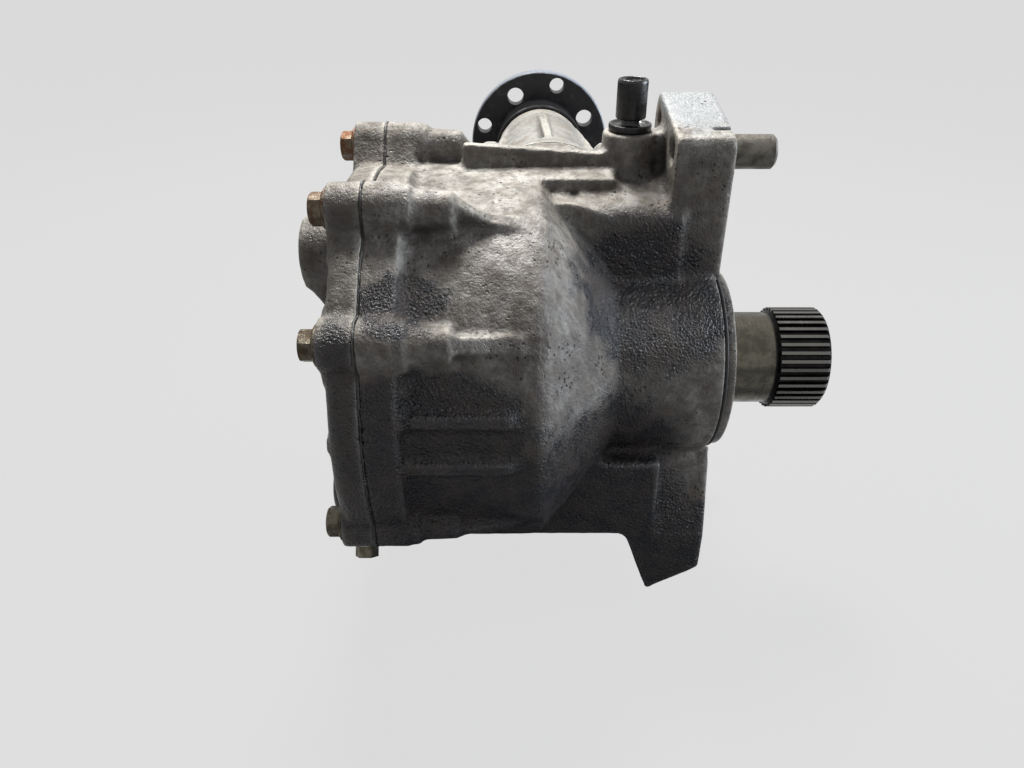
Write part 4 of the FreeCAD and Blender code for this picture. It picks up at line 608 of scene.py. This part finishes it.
def slopes(values, points):
    """Unit vectors along which the field grows at points given in cells."""
    sides = []
    for axis in range(3):
        step = np.zeros(3)
        step[axis] = 0.9
        sides.append(sample(values, points + step) - sample(values, points - step))
    slope = np.stack(sides, 1)
    return slope / np.maximum(np.linalg.norm(slope, axis=1, keepdims=True), 1e-12)


def waves(shape, size, seed):
    """Smooth noise from -1 to 1: random values size metres apart, mixed along each axis."""
    cell = size / VOXEL
    coarse = [int(n / cell) + 3 for n in shape]
    values = np.random.default_rng(seed).uniform(-1, 1, coarse).astype(np.float32)
    for axis in range(3):
        place = np.arange(shape[axis]) / cell
        base = place.astype(int)
        part = place - base
        part = (part * part * (3 - 2 * part)).astype(np.float32)
        part = part.reshape([-1 if i == axis else 1 for i in range(3)])
        values = np.take(values, base, axis) * (1 - part) + np.take(values, base + 1, axis) * part
    return values


def mark(mesh, label, values):
    """Store one number from 0 to 1 per vertex, for a finish to read."""
    attribute = mesh.attributes.new(label, "FLOAT", "POINT")
    attribute.data.foreach_set("value", np.clip(values, 0, 1).astype(np.float32))


def mark_bends(mesh, field, cells, reach):
    """Hollow and edge come from the mean over a near cube, deep from that over a wide one."""
    held = np.clip(field, -reach, reach)
    near = sample(blurred(held, round(NEAR / VOXEL)), cells) / NEAR_BEND
    wide = sample(blurred(held, round(WIDE / VOXEL)), cells) / reach
    mark(mesh, "hollow", -near / 0.9 - 0.2)
    mark(mesh, "edge", near / 0.9 - 0.2)
    mark(mesh, "deep", -wide * 2.5 - 0.1)
    print(mesh.name, "bend near", np.percentile(near, (2, 50, 98)).round(2),
          "wide", np.percentile(wide, (2, 50, 98)).round(2))


print("cubes in cells:", 2 * round(NEAR / VOXEL) + 1, 2 * round(WIDE / VOXEL) + 1)

# %% [markdown]
# A casting's skin is the zero surface of its softened field. The grid gives far more triangles
# than flat faces need, so edges are collapsed where nothing bends until the count is reasonable.

# %% One cast skin
BROAD_HEIGHT, BROAD_SIZE = 0.00028, 0.013
FINE_HEIGHT, FINE_SIZE = 0.0001, 0.004
MOST_TRIANGLES = 190000


def outward(points, quads):
    """The quads, turned round if the volume they enclose comes out negative.

    The volume of each quad's two triangles with the origin is p0 . (p1 x p2 + p2 x p3) / 6.
    """
    corners = points[quads]
    volume = np.einsum("ij,ij->", corners[:, 0], np.cross(corners[:, 1], corners[:, 2])
                       + np.cross(corners[:, 2], corners[:, 3]))
    return quads if volume > 0 else quads[:, ::-1]


def thinned(piece, most):
    """Collapse edges where the surface is flat until the piece has at most so many triangles."""
    count = 2 * len(piece.data.polygons)
    if count > most:
        modifier = piece.modifiers.new("thin", "DECIMATE")
        modifier.ratio = most / count
        graph = bpy.context.evaluated_depsgraph_get()
        lean = bpy.data.meshes.new_from_object(piece.evaluated_get(graph))
        piece.modifiers.remove(modifier)
        lean.name = piece.data.name
        piece.data = lean
    print(piece.name, "triangles", count, "kept", len(piece.data.polygons))


def cast_skin(name, fillet, rounding, machined, seed):
    """The node's shape with fillets inside corners, rounded outer edges and a cast unevenness.

    machined(x, y, z) is 1 where the plain field stays.
    """
    reach = fillet + 4 * VOXEL
    points, faces = arrays_of(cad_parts[name])
    low = np.floor(points.min(0) / VOXEL).astype(int) - MARGIN
    shape = tuple(np.ceil(points.max(0) / VOXEL).astype(int) + MARGIN - low)
    field, soft = softened(points, faces, tuple(low), shape, fillet, rounding, reach)
    soft += (BROAD_HEIGHT * waves(shape, BROAD_SIZE, seed)
             + FINE_HEIGHT * waves(shape, FINE_SIZE, seed + 1))
    x, y, z = [(low[i] + np.arange(shape[i])) * VOXEL for i in range(3)]
    soft = soft + (field - soft) * machined(x[:, None, None], y[None, :, None], z[None, None, :])
    soft = soft.astype(np.float32)
    points, quads = as_grid(soft, tuple(low), reach).convertToQuads(isovalue=0)
    mesh = bpy.data.meshes.new(name + "_skin")
    mesh.from_pydata(points, [], outward(points, quads))
    mesh.materials.append(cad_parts[name].data.materials[0])
    piece = placed(name + "_skin", mesh)
    thinned(piece, MOST_TRIANGLES)
    mesh = piece.data
    cells = places_of(mesh) / VOXEL - low
    mark_bends(mesh, soft, cells, reach)
    mesh.shade_smooth()
    mesh.normals_split_custom_set_from_vertices(slopes(soft, cells).tolist())
    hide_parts(name)
    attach(piece, "casing")
    return piece


print("unevenness in mm:", BROAD_HEIGHT / MM, "and", FINE_HEIGHT / MM)

# %% [markdown]
# Some faces are cut after casting and stay flat and sharp: the joints between the castings, the
# pilot ring and the lugs' faces that meet the gearbox, and the round seats under the bolt heads.
# Each casting gets a mask that is 1 there, with a soft rim one cell wide.

# %% Machined places
COVER_JOINT = -0.157
PILOT_FACE, PILOT_RADIUS = -0.0035, 0.048
LUG_FACE = -0.0006
SNOUT_JOINT, SNOUT_FLANGE = 0.1, 0.101
COVER_CUT, COVER_CUT_RADIUS = -0.1702, 0.0098
SNOUT_CUT, SNOUT_CUT_RADIUS = 0.109, 0.0102
COVER_BOLTS = np.array([(40, 94.5), (-35, 88), (-76.5, 47.5), (-75.5, -42), (-22, -84), (38, -80),
                        (80, -38), (82, 34)]) * MM
SNOUT_BOLTS = np.array([(-76 + 47 * math.cos(math.radians(a)), 37 + 47 * math.sin(math.radians(a)))
                        for a in (45, 135, 225, 315)]) * MM


def near_plane(offset):
    """1 within a cell or two of a milled face, from the distance to its plane."""
    return np.clip(1.6 - abs(offset) / VOXEL, 0, 1)


def beyond(depth):
    """0 where depth is negative, 1 from one cell on."""
    return np.clip(depth / VOXEL, 0, 1)


def housing_machined(x, y, z):
    """The joint faces and the pilot ring are turned, so nothing there is rounded."""
    pilot = beyond(x - PILOT_FACE) * beyond(PILOT_RADIUS - np.hypot(y, z))
    joints = np.maximum(near_plane(x - COVER_JOINT), near_plane(y - SNOUT_JOINT))
    return np.maximum(np.maximum(pilot, beyond(x - LUG_FACE)), joints)


def cover_machined(x, y, z):
    """The joint face and the round seats that are cut for the bolt heads."""
    keep = near_plane(x - COVER_JOINT)
    for bolt_y, bolt_z in COVER_BOLTS:
        seat = beyond(COVER_CUT_RADIUS - np.hypot(y - bolt_y, z - bolt_z))
        keep = np.maximum(keep, seat * beyond(COVER_CUT - x))
    return keep


def snout_machined(x, y, z):
    """The flange's joint face and the seats of its four bolts."""
    keep = near_plane(y - SNOUT_FLANGE)
    for bolt_x, bolt_z in SNOUT_BOLTS:
        seat = beyond(SNOUT_CUT_RADIUS - np.hypot(x - bolt_x, z - bolt_z))
        keep = np.maximum(keep, seat * beyond(y - SNOUT_CUT))
    return keep


print("bolts of the cover and the snout:", len(COVER_BOLTS), len(SNOUT_BOLTS))

# %% [markdown]
# With that, each casting is one line: its fillets, the rounding of its outer edges, its mask and
# the seed of its unevenness. The snout is a smaller casting and has the crispest edges.

# %% The three skins
housing = cast_skin("main_housing", 0.003, 0.0011, housing_machined, 3)
cover = cast_skin("side_cover", 0.0025, 0.0011, cover_machined, 5)
snout = cast_skin("pinion_housing", 0.0025, 0.0008, snout_machined, 7)
print("skins:", [(o.name, len(o.data.polygons)) for o in (housing, cover, snout)])

# %% [markdown]
# Small pieces that are seen close up get shapes of their own. A turned piece is one grid of
# points: its rows run along the axis, its columns run round it, and each row has one radius. The
# same grid can be bent round into a ring for a tube.

# %% Turned pieces


def round_angles(count):
    """Count even angles of a full turn."""
    return np.arange(count) * 2 * np.pi / count


def around_grid(rows, columns, ring=False):
    """Quads of a grid that is closed round its columns and, as a ring, round its rows too."""
    row = np.arange(rows if ring else rows - 1)[:, None]
    column = np.arange(columns)[None, :]
    here, there = row * columns, (row + 1) % rows * columns
    after = (column + 1) % columns
    quads = np.stack([here + column, here + after, there + after, there + column], -1)
    return quads.reshape(-1, 4)


def new_piece(name, points, quads, material, sharp=35):
    """A piece from arrays, its doubled pole points merged and its sharp edges kept sharp."""
    mesh = bpy.data.meshes.new(name)
    mesh.from_pydata(points, [], outward(points, quads))
    mesh.materials.append(material)
    piece = placed(name, mesh)
    shape = bmesh.new()
    shape.from_mesh(mesh)
    bmesh.ops.remove_doubles(shape, verts=shape.verts, dist=1e-7)
    bmesh.ops.dissolve_degenerate(shape, edges=shape.edges, dist=1e-7)
    shape.to_mesh(mesh)
    shape.free()
    mesh.shade_smooth()
    mesh.set_sharp_from_angle(angle=math.radians(sharp))
    print(name, "faces:", len(mesh.polygons))
    return piece


def turned_points(profile, hexagon=None, turn=0.0, columns=96):
    """Points round an axis from rows (height, radius) in millimetres.

    With a hexagon of half width a, rows flagged 1 have the radius
    min(row radius, a / cos(mod(angle + 30, 60) - 30)), the flats cut by the row's circle.
    """
    rows = np.array([row[:2] for row in profile]) * MM
    angle = round_angles(columns)
    radius = np.repeat(rows[:, 1:], columns, 1)
    if hexagon is not None:
        flagged = np.array([row[2] for row in profile])[:, None] == 1
        third = np.mod(np.degrees(angle) + 30, 60) - 30
        flats = hexagon * MM / np.cos(np.radians(third))
        radius = np.where(flagged, np.minimum(radius, flats[None, :]), radius)
    angle = angle + math.radians(turn)
    height = np.repeat(rows[:, :1], columns, 1)
    return np.stack([height, radius * np.cos(angle), radius * np.sin(angle)], -1).reshape(-1, 3)


print("quads of a turned piece of ten rows:", len(around_grid(10, 96)))

# %% [markdown]
# A bolt head is forged and then trimmed: its six flats end in a cone at the top, the washer under
# it is slightly conical, and the top is dished. Its radius is the smaller of the hexagon's and the
# cone's. Every head stands at its own angle, as a spanner left it, and has its own share of rust.

# %% Flanged bolts
HEAD_HALF_WIDTH = 6
COVER_SEAT, COVER_REACH = -0.1715, 37.5
COVER_TURNS = (12, 20, 4, 49, 33, 15, 41, 27)
COVER_RUST = (1, 0.35, 0.1, 0.05, 0.1, 0.5, 0.2, 0.6)
SNOUT_SEAT, SNOUT_REACH = 0.11, 30
SNOUT_TURNS = (8, 31, 22, 50)
SNOUT_RUST = (0.3, 0.1, 0.2, 0.4)


def bolt_rows(reach):
    """Rows (height over the seat, radius, on the hexagon) of a flanged bolt with this shank."""
    return [(-reach, 0, 0), (-reach, 3.2, 0), (-reach + 0.8, 4, 0), (0, 4, 0), (0, 8.1, 0),
            (0.25, 8.5, 0), (0.7, 8.6, 0), (1.1, 8.45, 0), (1.9, 7.2, 0), (2.1, 7.0, 1),
            (6.2, 7.0, 1), (6.7, 6.7, 1), (7.25, 6.05, 1), (7.5, 5.3, 0), (7.4, 4.8, 0),
            (6.9, 4.3, 0), (6.85, 0, 0)]


def bolts(name, seats, reach, along, turns, rust):
    """All bolts of a node; along maps (height, across, across) to (x, y, z) at each seat."""
    rows = bolt_rows(reach)
    quads = around_grid(len(rows), 96)
    points, faces = [], []
    for i, (seat, turn) in enumerate(zip(seats, turns)):
        shape = turned_points(rows, HEAD_HALF_WIDTH, turn) @ np.array(along, float)
        points.append(shape + np.array(seat))
        faces.append(quads + i * len(shape))
    piece = new_piece(name, np.concatenate(points), np.concatenate(faces), bolt_heads)
    away = places_of(piece.data)[:, None] - np.array(seats)[None]
    away = away * (1 - abs(np.array(along[0])))
    mark(piece.data, "rust", np.array(rust, np.float32)[np.argmin((away ** 2).sum(-1), 1)])
    return piece


cover_bolts = bolts("flanged_bolts", [(COVER_SEAT, y, z) for y, z in COVER_BOLTS], COVER_REACH,
                    ((-1, 0, 0), (0, 1, 0), (0, 0, -1)), COVER_TURNS, COVER_RUST)
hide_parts("cover_bolts")
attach(cover_bolts, "casing")
snout_bolts = bolts("snout_flanged_bolts", [(x, SNOUT_SEAT, z) for x, z in SNOUT_BOLTS],
                    SNOUT_REACH, ((0, 1, 0), (1, 0, 0), (0, 0, -1)), SNOUT_TURNS, SNOUT_RUST)
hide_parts("pinion_housing_bolts")
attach(snout_bolts, "casing")

# %% [markdown]
# The breather is a pressed metal body with a moulded cap. The cap's top is a shallow cup where
# dirt gathers, and the collar has a turned-up lip that catches the light.

# %% Breather
BREATHER = (-0.042, 0.031, 0)
CUP_ROWS = [
    (109.4, 0), (109.4, 6.2), (109.6, 6.7), (110.1, 7), (125.4, 7), (126.3, 6.9), (126.8, 6.6),
    (126.9, 6.2), (126.8, 5.8), (126.3, 5.5), (125.6, 5.2), (125.4, 4.2), (125.5, 2), (125.6, 0)]
COLLAR_ROWS = [
    (90, 0), (90, 4.2), (104, 4.2), (104, 9.3), (104.3, 9.8), (104.9, 10), (106.6, 10),
    (107.2, 9.85), (107.4, 9.4), (107.2, 8.9), (106.7, 8.5), (106.2, 7.6), (106.2, 5.4),
    (106.6, 4.7), (107.4, 4.3), (109.4, 4.2), (109.4, 0)]


def upright_piece(name, profile, place, material):
    """A closed piece turned about an upright axis at place, from rows (height, radius) in mm."""
    points = turned_points(profile)[:, [1, 2, 0]] + np.array(place)
    return new_piece(name, points, around_grid(len(profile), 96), material, 50)


cap = upright_piece("breather_cup", CUP_ROWS, BREATHER, black_plastic)
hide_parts("breather_cap")
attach(cap, "casing")
collar = upright_piece("breather_collar", COLLAR_ROWS, BREATHER, black_plastic)
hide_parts("breather_body")
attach(collar, "casing")

# %% [markdown]
# The joint is sealed with a paste that is laid on wet. When the bolts draw the cover in, the rest
# squeezes out and dries as a thin uneven bead along the seam. The bead is a tube that follows the
# outline of the joint and whose thickness wanders.

# %% Squeezed sealant
SEAM = -0.15675
BEAD_RADIUS, BEAD_SINK, BEAD_DRIFT = 0.00055, 0.0002, 0.0002
BEAD_WAVES = (7, 13, 23, 41, 67, 101, 149)


def joint_outline(name, count):
    """Radius of the node's outer rim at count even angles round the X axis.

    A ray at angle t crosses the edge p-q at the distance (p x q) / (u x (q - p)), with
    u = (cos t, sin t); the farthest crossing is the outline.
    """
    points, faces = arrays_of(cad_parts[name])
    flat = points[:, 1:]
    edges = np.concatenate([faces[:, [0, 1]], faces[:, [1, 2]], faces[:, [2, 0]]])
    start, way = flat[edges[:, 0]], flat[edges[:, 1]] - flat[edges[:, 0]]
    angle = round_angles(count)
    ray = np.stack([np.cos(angle), np.sin(angle)], -1)
    across = ray[:, :1] * way[:, 1] - ray[:, 1:] * way[:, 0]
    across = np.where(abs(across) < 1e-12, 1e-12, across)
    share = (start[:, 0] * ray[:, 1:] - start[:, 1] * ray[:, :1]) / across
    far = (start[:, 0] * way[:, 1] - start[:, 1] * way[:, 0]) / across
    return angle, np.where((share >= 0) & (share <= 1) & (far > 0), far, 0).max(1)


def bead(name, count=1440, columns=10):
    """A closed tube along the outline; its radius is BEAD_RADIUS times a wandering factor."""
    angle, reach = joint_outline("cover_sealant", count)
    random = np.random.default_rng(11)
    wander = np.zeros(count)
    for turns in BEAD_WAVES:
        wander += np.sin(turns * angle + random.uniform(0, 6.28)) * random.uniform(0.4, 1)
    wander /= abs(wander).max()
    thick = BEAD_RADIUS * (1 + 0.6 * wander)[:, None]
    side = round_angles(columns)
    radius = reach[:, None] - BEAD_SINK + thick * np.sin(side)
    x = SEAM + 0.9 * thick * np.cos(side) + BEAD_DRIFT * np.roll(wander, 40)[:, None]
    points = np.stack([x, radius * np.cos(angle)[:, None], radius * np.sin(angle)[:, None]], -1)
    return new_piece(name, points.reshape(-1, 3), around_grid(count, columns, True),
                     black_sealant, 80)


squeezed = bead("sealant_bead")
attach(squeezed, "casing")

# %% [markdown]
# The floor and backdrop are one pale surface. The camera sees it as a plain light grey, while the
# object is lit only by the lamps and a weak sky, so that the castings stay as dark as they are.

# %% Floor
PALE = rgb(0.75, 0.75, 0.75)
FLOOR_HALF, FLOOR_DROP = 6.0, 0.004
floor_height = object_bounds()[0].z - FLOOR_DROP
floor_mesh = bpy.data.meshes.new("floor")
floor_mesh.from_pydata([(x, y, floor_height) for x, y in
                        ((-FLOOR_HALF, -FLOOR_HALF), (FLOOR_HALF, -FLOOR_HALF),
                         (FLOOR_HALF, FLOOR_HALF), (-FLOOR_HALF, FLOOR_HALF))],
                       [], [(0, 1, 2, 3)])
floor = placed("floor", floor_mesh)
pale = Recipe("pale_floor")
floor_mesh.materials.append(pale.finish(rgb(0.4, 0.4, 0.4), 0.9))
glow = pale.tree.nodes.new("ShaderNodeEmission")
glow.inputs["Color"].default_value = PALE
seen = pale.tree.nodes.new("ShaderNodeLightPath")
mixed = pale.tree.nodes.new("ShaderNodeMixShader")
pale.feed(mixed.inputs[0], pale.math("MULTIPLY", seen.outputs["Is Camera Ray"], 0.93))
pale.feed(mixed.inputs[1], pale.shader.outputs[0])
pale.feed(mixed.inputs[2], glow.outputs[0])
pale.feed(pale.tree.nodes["Material Output"].inputs["Surface"], mixed.outputs[0])
print("floor at", round(floor_height / MM, 1), "mm")

# %% [markdown]
# The sky is pale where the camera looks at it or sees it mirrored, and dim for all other light.
# Two soft lamps do the rest: a warm one high behind the case, and a weak cool one on its right.

# %% Sky and lamps
DIM_SKY = rgb(0.043, 0.042, 0.055)
CENTRE = (-0.09, 0.0, 0.0)

world = bpy.data.worlds.new("sky")
bpy.context.scene.world = world
world.use_nodes = True
sky = world.node_tree
rays = sky.nodes.new("ShaderNodeLightPath")
total = rays.outputs["Is Camera Ray"]
for kind in ("Is Glossy Ray", "Is Transmission Ray"):
    adding = sky.nodes.new("ShaderNodeMath")
    adding.use_clamp = True
    sky.links.new(total, adding.inputs[0])
    sky.links.new(rays.outputs[kind], adding.inputs[1])
    total = adding.outputs[0]
tints = sky.nodes.new("ShaderNodeMix")
tints.data_type = "RGBA"
tints.inputs[MIX_FIRST].default_value = DIM_SKY
tints.inputs[MIX_SECOND].default_value = PALE
sky.links.new(total, tints.inputs[MIX_SHARE])
sky.links.new(tints.outputs[MIX_RESULT], sky.nodes["Background"].inputs["Color"])


def lamp(name, place, power, colour):
    """A square soft lamp at place that looks towards the middle of the case."""
    light = bpy.data.lights.new(name, "AREA")
    light.size = 0.3
    light.energy = power
    light.color = colour
    obj = placed(name, light)
    obj.location = place
    away = Vector(place) - Vector(CENTRE)
    obj.rotation_euler = away.to_track_quat("Z", "Y").to_euler()
    return obj


lamps = [lamp("top", (-0.16, 0.47, 0.87), 18, (1, 0.985, 0.955)),
         lamp("right", (0.8, 0.06, 0.26), 7, (0.82, 0.9, 1))]
print("lamps:", [o.name for o in lamps])

# %% [markdown]
